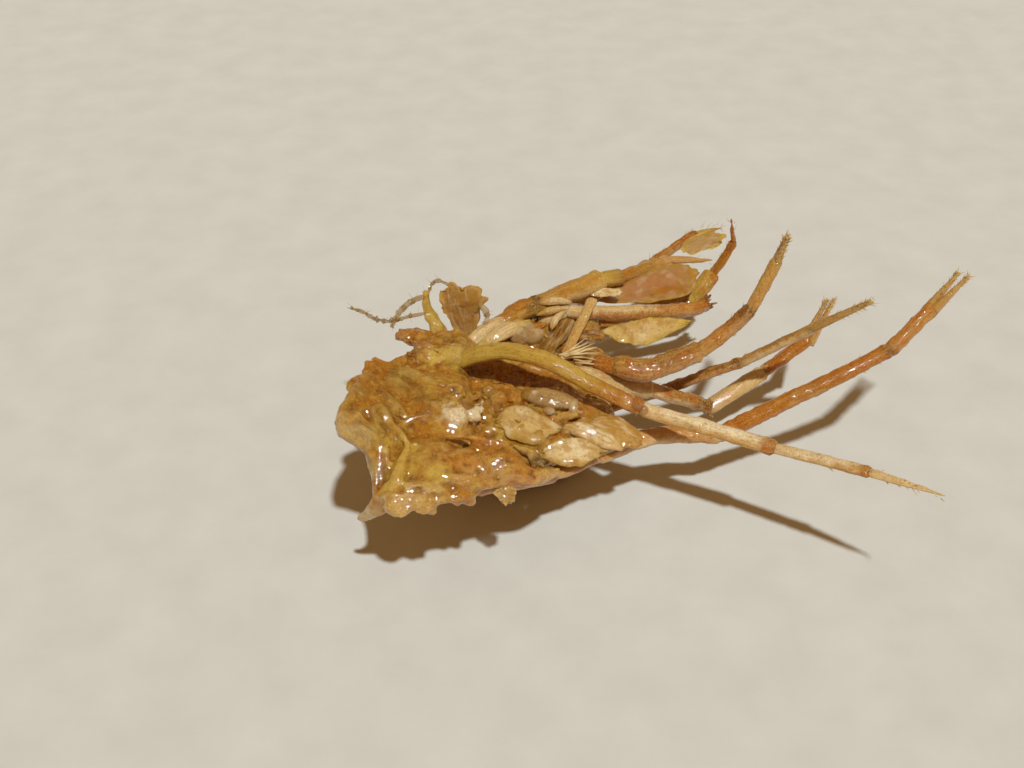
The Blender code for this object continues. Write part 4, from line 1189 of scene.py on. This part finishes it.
# Thin crisp flakes: rows of places across each, thickness, tones from the middle to the edge, how
# torn it is, how far it bulges, which finish it takes, and the slot
FLAKES = {
    "belly_plate_inner": (
        (((0.7, -6.9, 14.4), (2.4, -4.9, 14.9), (4.7, -5.9, 14.9), (7.4, -8.0, 14.2)),
         ((0.8, -7.6, 14.1), (2.4, -9.4, 13.8), (4.6, -9.8, 13.6), (7.3, -8.3, 13.9))),
        0.25, ("pale_straw", "gold"), 0.3, 0.1, "leaf", "straw"),
    "belly_plate_outer": (
        (((4.8, -9.9, 13.4), (7.0, -8.5, 14.0), (9.5, -7.7, 13.4), (12.0, -8.6, 12.5)),
         ((5.1, -10.5, 12.9), (6.8, -10.9, 12.5), (9.2, -10.8, 12.1), (11.8, -9.2, 12.2))),
        0.25, ("cream", "gold"), 0.25, 0.1, "leaf", "straw"),
    "belly_plate_spotted": (
        (((9.6, -4.9, 13.6), (11.7, -4.4, 13.9), (13.6, -5.2, 13.9), (15.4, -6.6, 13.3)),
         ((9.9, -6.8, 13.4), (11.8, -8.0, 13.1), (13.5, -8.8, 12.8), (15.0, -8.3, 12.6))),
        0.3, ("straw", "crisp"), 0.2, 0.1, "leaf", "straw"),
    "belly_plate_long": (
        (((7.0, -6.1, 14.2), (9.3, -6.4, 14.8), (11.6, -7.2, 14.3), (13.6, -8.3, 13.2)),
         ((7.2, -6.9, 13.9), (9.3, -8.0, 14.0), (11.4, -8.9, 13.4), (13.4, -8.9, 12.9))),
        0.35, ("cream", "straw"), 0.12, 0.2, "leaf", "straw"),
    "belly_plate_small": (
        (((12.2, -2.9, 14.6), (13.8, -3.6, 14.6), (15.2, -4.7, 14.2)),
         ((12.3, -3.5, 14.3), (13.5, -4.2, 14.2), (14.9, -4.9, 13.9))),
        0.2, ("cream", "cream"), 0.25, 0.1, "leaf", "straw"),
    # Partly painted shade: the dark plate is a brown translucent flap, and its brown tones also paint the shade it
    # lies in.
    "dark_plate": (
        (((3.8, 7.4, 11.8), (5.5, 10.4, 12.6), (7.0, 12.6, 13.4)),
         ((5.2, 6.6, 12.2), (6.8, 9.6, 12.9), (8.4, 12.5, 13.5)),
         ((6.3, 5.7, 11.6), (7.9, 8.8, 12.4), (9.7, 12.4, 13.0))),
        0.25, ("brown", "toffee"), 0.25, 0.2, "leaf", "crust"),
    "dark_plate_rib": (
        (((6.5, 9.6, 13.1), (7.2, 11.0, 13.5), (7.9, 12.2, 13.7)),
         ((6.9, 9.4, 13.1), (7.7, 10.8, 13.5), (8.2, 12.0, 13.6))),
        0.15, ("straw", "straw"), 0.3, 0.05, "leaf", "straw"),
    "far_leaf": (
        (((12.0, 14.3, 9.4), (15.3, 16.0, 9.7), (18.8, 17.2, 9.5), (23.6, 18.0, 8.6)),
         ((12.1, 14.2, 9.3), (15.1, 14.6, 9.5), (18.5, 15.4, 9.2), (23.6, 17.9, 8.5)),
         ((12.2, 14.1, 9.1), (14.8, 13.2, 8.5), (18.1, 13.9, 8.1), (23.5, 17.7, 8.4))),
        0.25, ("pale_straw", "batter"), 0.3, 0.3, "leaf", "straw"),
    "far_web": (
        (((12.1, 18.7, 12.2), (15.4, 20.7, 12.8), (18.6, 23.6, 12.2), (21.8, 26.0, 11.6), (25.0, 26.9, 11.0)),
         ((12.3, 16.7, 11.6), (15.2, 16.6, 11.4), (18.8, 18.2, 10.6), (22.5, 20.6, 9.6), (24.4, 22.8, 9.4))),
        0.2, ("orange", "gold"), 0.22, 0.5, "web", "shell"),
    "far_veil": (
        (((22.2, 29.0, 11.6), (24.8, 31.2, 12.2), (27.6, 32.0, 12.6)),
         ((23.6, 27.4, 11.4), (26.0, 28.2, 11.7), (28.6, 29.4, 12.2))),
        0.12, ("straw", "batter"), 0.3, 0.1, "web", "shell"),
    "far_sliver": (
        (((11.0, 16.2, 13.6), (13.0, 17.0, 13.6), (14.9, 16.9, 13.4)),
         ((11.2, 15.5, 13.4), (12.9, 15.6, 13.2), (14.8, 16.0, 13.1))),
        0.25, ("cream", "cream"), 0.2, 0.1, "leaf", "shell"),
    "brown_strip": (
        (((9.3, 10.6, 12.3), (10.9, 10.8, 12.3), (12.6, 10.6, 11.9)),
         ((9.4, 9.6, 11.8), (10.9, 9.5, 11.6), (12.5, 9.8, 11.4))),
        0.35, ("brown", "amber"), 0.3, 0.15, "leaf", "crust"),
    "near_flake": (
        (((0.6, -15.0, 12.7), (1.8, -15.3, 12.5), (2.8, -15.1, 12.0)),
         ((1.0, -16.2, 11.3), (2.0, -16.5, 11.0), (2.6, -16.0, 10.9))),
        0.3, ("straw", "pale_straw"), 0.45, 0.15, "web", "crust"),
}

FLAKE_NODES = {"far_leaf": ("leg_far_2",)}

# Flakes whose rims are sunk into the skin
LAID_FLAKES = ("belly_plate_inner", "belly_plate_outer", "belly_plate_long", "belly_plate_spotted", "dark_plate")


def build_flakes(materials, skin):
    whole = bmesh.new()
    whole.from_mesh(skin.data)
    ground = BVHTree.FromBMesh(whole)
    whole.free()
    for number, (name, row) in enumerate(FLAKES.items()):
        rows, thick, tones, ragged, bulge, finish, slot = row
        bm = new_bmesh()
        laid = ground if name in LAID_FLAKES else None
        flake(bm, rows, thick, tones, ragged, bulge, seed=number * 2.3, ground=laid)
        finish_piece(name, bm, [materials[finish]], FLAKE_NODES.get(name, ()))


# Plump lobes at the roots of the far legs: places along each, half thickness and tones
LOBES = (
    (((-2.6, 5.6, 13.4), (-0.4, 7.7, 14.2), (1.8, 10.2, 14.1)), 0.85, ("cream", "cream", "pale_straw")),
    (((-1.4, 5.4, 13.2), (1.4, 7.4, 14.1), (4.3, 10.4, 13.5)), 0.95, ("lime", "cream", "batter")),
    (((0.9, 9.8, 13.2), (3.1, 11.6, 14.2), (5.2, 12.8, 14.6)), 1.0, ("orange", "amber", "toffee")),
    (((2.4, 8.4, 12.4), (4.4, 9.6, 12.9), (6.2, 11.4, 12.6)), 0.6, ("amber", "orange", "amber")),
    (((8.8, 12.8, 14.4), (7.2, 12.2, 15.0), (5.4, 11.9, 14.9)), 0.5, ("cream", "cream", "straw")),
    (((8.6, 12.4, 14.0), (6.8, 11.4, 14.3), (5.0, 10.9, 13.9)), 0.42, ("cream", "pale_straw", "gold")),
    (((8.4, 12.2, 13.8), (7.2, 10.8, 13.6), (6.6, 9.7, 12.9)), 0.45, ("pale_straw", "cream", "straw")),
)


def build_lobes(materials):
    bm = new_bmesh()
    for number, (places, half, tones) in enumerate(LOBES):
        line = curved_line([Vector(place) for place in places], 0.25)
        count = len(line)
        middles, sizes, tints = [], [], []
        for i, (place, position) in enumerate(line):
            swell = math.sin(math.pi * (0.06 + 0.88 * i / (count - 1))) ** 0.6
            middles.append(place)
            sizes.append((half * swell, half * swell * 0.8))
            tints.append(between([TONES[name] for name in tones], position))
        sweep(bm, middles, sizes, tints, sides=24, ribs=(5, 0.06), start=number * 5.0)
    bm.normal_update()
    roughen(bm.verts, 0.2, 1.2, 4.0)
    bm.normal_update()
    roughen(bm.verts, 0.08, 0.45, 4.0)
    finish_piece("far_root_lobes", bm, materials)


# Clear oily blisters: centre, half sizes, bearing, rise and tone
BLISTERS = (
    ((6.2, -4.2, 14.1), (2.7, 1.2, 0.8), -14, -3, "pale_straw"),
    ((4.2, -3.6, 14.2), (1.0, 0.8, 0.7), 10, 0, "gold"),
    ((8.5, -5.1, 13.9), (0.5, 0.9, 0.5), -14, 0, "cream"),
    ((4.7, -4.0, 14.8), (0.5, 0.34, 0.3), 20, 0, "cream"),
    ((5.6, -4.5, 14.8), (0.42, 0.3, 0.3), -30, 0, "cream"),
    ((6.6, -4.2, 14.8), (0.5, 0.3, 0.3), 10, 0, "pale_straw"),
    ((7.3, -5.0, 14.5), (0.46, 0.3, 0.3), -20, 0, "cream"),
    ((3.3, 7.9, 13.4), (1.3, 0.9, 1.0), 30, 0, "cream"),
    ((4.7, 8.3, 13.1), (1.2, 0.8, 0.9), 20, 0, "cream"),
    ((4.0, 9.3, 13.4), (0.9, 0.7, 0.7), 20, 0, "cream"),
    ((14.9, -5.2, 14.2), (0.7, 0.8, 0.85), -20, 0, "orange"),
    ((15.4, -5.8, 13.9), (0.5, 0.5, 0.55), -20, 0, "orange"),
    ((6.1, -5.6, 13.7), (0.6, 0.5, 0.45), 0, 0, "cream"),
)


def build_blisters(materials):
    bm = new_bmesh()
    for centre, radii, bearing, rise, shade in BLISTERS:
        lump(bm, centre, radii, bearing, rise, tint=TONES[shade], detail=4)
    bm.normal_update()
    roughen(bm.verts, 0.2, 1.6, 5.0)
    finish_piece("oil_blisters", bm, materials)


# Places strewn with wet beads: centre, reach and how many
BEADS = (
    ((3.0, -4.0), 5.0, 34),
    ((-2.6, -5.6), 3.0, 16),
    ((9.5, -4.0), 3.6, 20),
    ((-6.6, 0.6), 3.4, 12),
    ((-8.0, -12.5), 2.5, 5),
    ((-2.0, -14.6), 3.5, 5),
    ((4.4, 9.6), 5.0, 16),
    ((9.5, 6.5), 3.6, 10),
)


def build_beads(materials, skin):
    """Small wet beads of oil and batter, each in the tone of the skin where it sits."""
    whole = bmesh.new()
    whole.from_mesh(skin.data)
    whole.faces.ensure_lookup_table()
    ground = BVHTree.FromBMesh(whole)
    tint_layer = whole.verts.layers.float_color["tint"]
    dice = random.Random(21)
    bm = new_bmesh()
    for (x, y), reach, count in BEADS:
        for _ in range(count):
            way, far = dice.uniform(0, math.tau), reach * math.sqrt(dice.random())
            above = Vector((x + math.cos(way) * far, y + math.sin(way) * far, 40)) * MM
            place, _, face, _ = ground.ray_cast(above, Vector((0, 0, -1)))
            if place:
                size = dice.uniform(0.12, 0.4)
                radii = (size * dice.uniform(1, 2.2), size, size * dice.uniform(0.5, 0.8))
                shade = Vector(whole.faces[face].verts[0][tint_layer])
                lump(bm, place / MM, radii, dice.uniform(0, 180), dice.uniform(-20, 20), 30, shade, detail=3)
    whole.free()
    finish_piece("wet_beads", bm, materials)


# Fans of stiff bristles: root, heading, rise, spread in degrees, count, length and tone
TUFTS = {
    "mouth_brush": ((7.8, 4.1, 13.2), 24, 6, 30, 24, 4.2, "cream"),
    "mouth_brush_low": ((9.2, 4.2, 12.7), 8, 0, 28, 10, 2.2, "cream"),
}

TUFT_NODES = {"mouth_brush": ("maxilliped_near",)}


def build_tufts(materials):
    for name, (root, bearing, rise, spread, count, length, shade) in TUFTS.items():
        dice = random.Random(name)
        bm = new_bmesh()
        for _ in range(count):
            way = heading(bearing + dice.gauss(0, spread / 2), rise + dice.gauss(0, spread / 3))
            start = Vector(root) + Vector([dice.uniform(-0.35, 0.35) for _ in range(3)])
            hair(bm, start, way, length * dice.uniform(0.6, 1.0), 0.3, TONES[shade], Vector((0, 0, -0.08)))
        finish_piece(name, bm, materials, TUFT_NODES.get(name, ()))


def wisp(bm, limb, dice, scale=1.0):
    """A thin withered thread along a gill's line, with clear beads on it."""
    rows = LIMBS[limb][1]
    tones = [TONES[name] for name in LIMB_TONES[limb]]
    line = curved_line(limb_joints(limb), 0.14)
    thick = [rows[0][4], *[(a[4] + b[4]) / 2 for a, b in zip(rows, rows[1:])], rows[-1][4]]
    places, sizes, tints = [], [], []
    for place, position in line:
        end = min(1.0, (len(rows) - position) / 0.5 + 0.25)
        bead = 1 + 0.5 * noise.noise(Vector((position * 4.3, len(limb), 0.5)))
        half = between(thick, position) / 2 * scale * bead * end
        flat = 1 + 0.3 * noise.noise(Vector((position * 1.9, 4.0, len(limb))))
        places.append(place)
        sizes.append((half * flat, half / flat))
        tints.append(between(tones, position))
    sweep(bm, places, sizes, tints, sides=12)
    for _ in range(round(len(places) * 0.55)):
        place = dice.choice(places)
        way = Vector([dice.gauss(0, 1) for _ in range(3)]).normalized()
        hair(bm, place, way, dice.uniform(0.3, 1.2), 0.05, TONES["misty"], Vector((0, 0, 0.2)))
    for _ in range(round(len(places) * 0.14)):
        radius = dice.uniform(0.12, 0.34)
        place = dice.choice(places) + Vector([dice.gauss(0, 0.12) for _ in range(3)])
        lump(bm, place, (radius, radius * 0.8, radius), dice.uniform(0, 180), tint=TONES["veil"], detail=2)


GILL_BLADE = (
    ((-5.6, 9.2, 18.6), (-5.5, 8.7, 17.0), (-4.6, 8.4, 15.0), (-2.8, 8.2, 12.5)),
    ((-3.4, 9.4, 19.1), (-3.1, 8.9, 17.1), (-2.8, 8.8, 15.0), (-2.0, 8.3, 12.2)),
    ((-0.8, 10.3, 18.2), (-0.5, 9.7, 17.0), (-0.8, 9.3, 15.0), (-1.2, 8.5, 12.5)),
)


def build_gills(materials):
    dice = random.Random(11)
    bm = new_bmesh()
    verts, _ = add_segment(bm, "gill_stalk", "stalk", 0, 2, 0.2, (4, 0.12), 1.0, collar=0.0)
    bm.normal_update()
    roughen(verts, 0.3, 0.8, 2.0)
    finish_piece("gill_stalk", bm, [materials["wet"]], ("gill_branch",))
    bm = new_bmesh()
    for limb in ("gill_hook", "gill_whip", "gill_plume"):
        wisp(bm, limb, dice, 0.6)
    finish_piece("gill_threads", bm, [materials["clear"]], ("gill_branch",))
    bm = new_bmesh()
    flake(bm, GILL_BLADE, 0.16, ("crisp", "straw"), 0.32, 0.0, seed=6.1, fine=60)
    finish_piece("gill_blade", bm, [materials["gill"]], ("gill_leaf",))
    bm = new_bmesh()
    wisp(bm, "gill_curl", dice, 0.8)
    finish_piece("gill_curl", bm, [materials["clear"]], ("gill_leaf",))


def new_material(name, roughness, coat, scatter, reach):
    """A Principled material: roughness, oil coat, and how much and how far light spreads inside."""
    made = bpy.data.materials.new(name)
    made.use_nodes = True
    shader = made.node_tree.nodes["Principled BSDF"]
    shader.inputs["Roughness"].default_value = roughness
    shader.inputs["IOR"].default_value = 1.45
    shader.inputs["Specular IOR Level"].default_value = 0.06
    shader.inputs["Coat Weight"].default_value = coat
    shader.inputs["Coat Roughness"].default_value = 0.05
    shader.inputs["Coat IOR"].default_value = 1.72
    shader.inputs["Subsurface Weight"].default_value = scatter
    shader.inputs["Subsurface Radius"].default_value = (0.85, 0.6, 0.26)
    shader.inputs["Subsurface Scale"].default_value = reach * MM
    return made, made.node_tree, shader


def add_node(tree, kind, **values):
    node = tree.nodes.new(kind)
    for name, value in values.items():
        if hasattr(node, name):
            setattr(node, name, value)
        else:
            node.inputs[name.replace("_", " ")].default_value = value
    return node


def noise_of(tree, vector, scale, detail=3.0, stretch=None):
    """Noise with a scale in waves to a millimetre of the vector, which may be stretched."""
    if stretch:
        mapping = add_node(tree, "ShaderNodeMapping", Scale=stretch)
        tree.links.new(vector, mapping.inputs["Vector"])
        vector = mapping.outputs["Vector"]
    node = add_node(tree, "ShaderNodeTexNoise", Scale=scale, Detail=detail)
    tree.links.new(vector, node.inputs["Vector"])
    return node.outputs["Fac"]


def scaled(tree, value, low, high, new_low=0.0, new_high=1.0):
    node = add_node(tree, "ShaderNodeMapRange")
    for name, number in (("From Min", low), ("From Max", high), ("To Min", new_low), ("To Max", new_high)):
        node.inputs[name].default_value = number
    tree.links.new(value, node.inputs["Value"])
    return node.outputs["Result"]


def mixed(tree, share, first, second, blend="MIX"):
    """Two colours mixed; each is a socket or a plain colour."""
    node = add_node(tree, "ShaderNodeMix", data_type="RGBA", blend_type=blend)
    tree.links.new(share, node.inputs["Factor"])
    for socket, colour in ((node.inputs[6], first), (node.inputs[7], second)):
        if isinstance(colour, bpy.types.NodeSocket):
            tree.links.new(colour, socket)
        else:
            socket.default_value = (*colour[:3], 1.0)
    return node.outputs[2]


def product(tree, first, second):
    node = add_node(tree, "ShaderNodeMath", operation="MULTIPLY")
    for socket, value in zip(node.inputs, (first, second)):
        if isinstance(value, bpy.types.NodeSocket):
            tree.links.new(value, socket)
        else:
            socket.default_value = value
    return node.outputs[0]


def bumped(tree, socket, heights):
    """Bumps a normal socket; each height is a socket with a depth in mm."""
    normal = None
    for height, depth in heights:
        node = add_node(tree, "ShaderNodeBump", Strength=1.0, Distance=depth * MM)
        tree.links.new(height, node.inputs["Height"])
        if normal:
            tree.links.new(normal, node.inputs["Normal"])
        normal = node.outputs["Normal"]
    tree.links.new(normal, socket)


def tint_and_grit(tree):
    """The tone that a piece carries, and how gritty it is there."""
    node = add_node(tree, "ShaderNodeAttribute", attribute_name="tint")
    return node.outputs["Color"], node.outputs["Alpha"]


def gritty(tree, place, colour, grit, strength):
    """Brown, orange and pale grains fried onto a colour, most where it is gritty."""
    grit = scaled(tree, grit, 0.0, 1.0, 0.3, 1.0)
    grains = ((5200, "brown", 0.54, 0.66, 0.8), (3700, "orange", 0.53, 0.64, 0.7), (4400, "straw", 0.55, 0.66, 0.8))
    for scale, name, low, high, most in grains:
        share = scaled(tree, noise_of(tree, place, scale, 2.0), low, high, 0.0, most * strength)
        colour = mixed(tree, product(tree, share, grit), colour, TONES[name])
    return colour


def flesh_finish():
    """Fried flesh and batter under oil: mottled, a little see-through, with a wet sparkle."""
    made, tree, shader = new_material("fried_flesh", 0.5, 1.0, 0.3, 1.0)
    place = add_node(tree, "ShaderNodeTexCoord").outputs["Object"]
    tint, grit = tint_and_grit(tree)
    broad = noise_of(tree, place, 380, 3.0)
    mottle = noise_of(tree, place, 1300, 4.0)
    fine = noise_of(tree, place, 4600, 3.0)
    wave = noise_of(tree, place, 620, 1.0)
    spark = noise_of(tree, place, 1900, 0.0)
    fried = scaled(tree, grit, 0.1, 0.5, 0.2, 1.0)
    colour = mixed(tree, product(tree, scaled(tree, broad, 0.44, 0.62, 0.0, 0.8), fried), tint, TONES["amber"])
    colour = mixed(tree, scaled(tree, mottle, 0.53, 0.66, 0.0, 0.5), colour, TONES["batter"])
    colour = mixed(tree, product(tree, scaled(tree, mottle, 0.34, 0.46, 0.7, 0.0), fried), colour, TONES["brown"])
    colour = gritty(tree, place, colour, grit, 0.8)
    tree.links.new(colour, shader.inputs["Base Color"])
    tree.links.new(scaled(tree, mottle, 0.3, 0.7, 0.42, 0.6), shader.inputs["Roughness"])
    bumped(tree, shader.inputs["Normal"], ((mottle, 0.3), (fine, 0.1)))
    bumped(tree, shader.inputs["Coat Normal"], ((wave, 0.8), (spark, 0.09)))
    return made


def shell_finish(name, roughness, coat):
    """Thin fried leg shell: streaked along its length, and gritty where it browned most."""
    made, tree, shader = new_material(name, roughness, coat, 0.4, 0.9)
    place = add_node(tree, "ShaderNodeTexCoord").outputs["Object"]
    tint, grit = tint_and_grit(tree)
    grain = add_node(tree, "ShaderNodeAttribute", attribute_name="grain").outputs["Vector"]
    streak = noise_of(tree, grain, 1.0, 3.0, (0.22, 2.6, 2.6))
    thread = noise_of(tree, grain, 1.0, 2.0, (0.5, 6.0, 6.0))
    patch = noise_of(tree, place, 900, 3.0)
    fine = noise_of(tree, place, 4200, 3.0)
    colour = mixed(tree, scaled(tree, streak, 0.5, 0.64, 0.0, 0.4), tint, TONES["pale_straw"])
    colour = mixed(tree, scaled(tree, thread, 0.52, 0.66, 0.0, 0.35), colour, TONES["toffee"])
    colour = mixed(tree, product(tree, scaled(tree, patch, 0.5, 0.62, 0.0, 0.9), grit), colour, TONES["rust"])
    colour = mixed(tree, product(tree, scaled(tree, patch, 0.3, 0.42, 0.8, 0.0), grit), colour, TONES["straw"])
    colour = gritty(tree, place, colour, grit, 1.0)
    tree.links.new(colour, shader.inputs["Base Color"])
    tree.links.new(scaled(tree, streak, 0.3, 0.7, roughness - 0.08, roughness + 0.15), shader.inputs["Roughness"])
    bumped(tree, shader.inputs["Normal"], ((thread, 0.06), (fine, 0.04), (product(tree, fine, grit), 0.09)))
    bumped(tree, shader.inputs["Coat Normal"], ((patch, 0.35),))
    return made


def leaf_finish(name, clear, coat):
    """Thin pale plates and webs; the clear ones let the light through, less so at their rims and in cloudy patches."""
    made, tree, shader = new_material(name, 0.45, coat, 0.0 if clear else 0.15, 0.8)
    tint, _ = tint_and_grit(tree)
    grain = add_node(tree, "ShaderNodeAttribute", attribute_name="grain").outputs["Vector"]
    place = add_node(tree, "ShaderNodeTexCoord").outputs["Object"]
    rib = noise_of(tree, grain, 1.0, 2.0, (0.5, 2.2, 0.0))
    thread = noise_of(tree, grain, 1.0, 2.0, (0.8, 5.0, 0.0))
    cloud = noise_of(tree, place, 1000, 4.0)
    wave = noise_of(tree, place, 620, 1.0)
    fine = noise_of(tree, place, 4400, 3.0)
    colour = mixed(tree, scaled(tree, rib, 0.5, 0.66, 0.0, 0.35 - clear * 0.35), tint, TONES["chalk"])
    colour = mixed(tree, scaled(tree, cloud, 0.46, 0.68, 0.0, 0.45), colour, TONES["gold"])
    colour = mixed(tree, scaled(tree, thread, 0.48, 0.62, 0.0, 0.6), colour, TONES["crisp"])
    colour = mixed(tree, scaled(tree, fine, 0.56, 0.68, 0.0, 0.5), colour, TONES["toffee"])
    tree.links.new(colour, shader.inputs["Base Color"])
    if clear:
        parts = add_node(tree, "ShaderNodeSeparateXYZ")
        tree.links.new(grain, parts.inputs["Vector"])
        body = scaled(tree, cloud, 0.4, 0.68, 1.0 - clear, 1.0 - clear * 0.6)
        rim = scaled(tree, parts.outputs["Z"], 0.75, 1.0, 0.0, 0.5)
        total = add_node(tree, "ShaderNodeMath", operation="ADD", use_clamp=True)
        tree.links.new(body, total.inputs[0])
        tree.links.new(rim, total.inputs[1])
        tree.links.new(total.outputs[0], shader.inputs["Alpha"])
    bumped(tree, shader.inputs["Normal"], ((rib, 0.1), (cloud, 0.12)))
    bumped(tree, shader.inputs["Coat Normal"], ((wave, 0.3),))
    return made


def glass_finish():
    """Clear oily bubbles: mostly see-through, with hard wet lights."""
    made, tree, shader = new_material("clear_blister", 0.08, 1.0, 0.0, 1.0)
    shader.inputs["Specular IOR Level"].default_value = 0.5
    shader.inputs["Coat Roughness"].default_value = 0.03
    shader.inputs["Alpha"].default_value = 0.52
    shader.inputs["Coat IOR"].default_value = 1.9
    place = add_node(tree, "ShaderNodeTexCoord").outputs["Object"]
    tint, _ = tint_and_grit(tree)
    bubble = noise_of(tree, place, 1100, 3.0)
    colour = mixed(tree, scaled(tree, bubble, 0.42, 0.66, 0.0, 0.6), tint, TONES["amber"])
    tree.links.new(colour, shader.inputs["Base Color"])
    bumped(tree, shader.inputs["Normal"], ((bubble, 0.2),))
    bumped(tree, shader.inputs["Coat Normal"], ((bubble, 0.4),))
    return made


def bristle_finish():
    made, tree, shader = new_material("bristle", 0.4, 0.2, 0.2, 0.4)
    tint, _ = tint_and_grit(tree)
    place = add_node(tree, "ShaderNodeTexCoord").outputs["Object"]
    shade = noise_of(tree, place, 900)
    tree.links.new(mixed(tree, scaled(tree, shade, 0.4, 0.7, 0, 0.6), tint, TONES["amber"]), shader.inputs[0])
    return made


def build_floor():
    bpy.ops.mesh.primitive_plane_add(size=FLOOR_SIZE)
    floor = bpy.context.object
    floor.name = "floor"
    made, tree, shader = new_material("pale_floor", 0.9, 0.0, 0.0, 1.0)
    place = add_node(tree, "ShaderNodeTexCoord").outputs["Object"]
    cloud = noise_of(tree, place, 160, 4.0)
    colour = mixed(tree, scaled(tree, cloud, 0.3, 0.7), tone(212, 208, 197), tone(219, 216, 205))
    tree.links.new(colour, shader.inputs["Base Color"])
    floor.data.materials.append(made)


def build_light():
    lamp = bpy.data.lights.new("lamp", "SUN")
    lamp.energy = LAMP_STRENGTH
    lamp.angle = math.radians(LAMP_ANGLE)
    lamp.color = LAMP_COLOUR
    holder = bpy.data.objects.new("lamp", lamp)
    bpy.context.scene.collection.objects.link(holder)
    holder.rotation_mode = "QUATERNION"
    holder.rotation_quaternion = Vector(LAMP_WAY).to_track_quat("-Z", "Y")
    world = bpy.data.worlds.new("room")
    world.use_nodes = True
    sky = world.node_tree.nodes["Background"]
    sky.inputs["Color"].default_value = (*ROOM_COLOUR, 1.0)
    bpy.context.scene.world = world
    bpy.context.scene.view_settings.view_transform = "Standard"


def build_camera():
    view = bpy.data.cameras.new("camera")
    view.sensor_width = SENSOR_WIDTH
    view.lens = CAMERA_LENS
    view.clip_start = 0.001
    camera = bpy.data.objects.new("camera", view)
    bpy.context.scene.collection.objects.link(camera)
    camera.location = Vector(CAMERA_PLACE) * MM
    camera.rotation_euler = (math.radians(CAMERA_TILT), 0, 0)
    bpy.context.scene.camera = camera


def build_head():
    flesh = flesh_finish()
    wet_shell = shell_finish("wet_shell", 0.45, 0.8)
    dry_shell = shell_finish("dry_shell", 0.5, 0.3)
    clear = glass_finish()
    thin = {"leaf": leaf_finish("pale_leaf", 0.0, 0.9), "web": leaf_finish("clear_web", 0.32, 1.0), "wet": wet_shell,
            "gill": leaf_finish("gill_film", 0.15, 0.3), "clear": clear}
    bristle_coat = bristle_finish()
    skin = build_skin([flesh])
    for limb, look in LIMB_LOOKS.items():
        build_limb(limb, [dry_shell if look[4] == "straw" else wet_shell, bristle_coat])
    build_flakes(thin, skin)
    build_beads([flesh], skin)
    build_lobes([wet_shell])
    build_blisters([clear])
    build_tufts([bristle_coat])
    build_gills(thin)


build_camera()
build_light()
build_floor()
build_head()
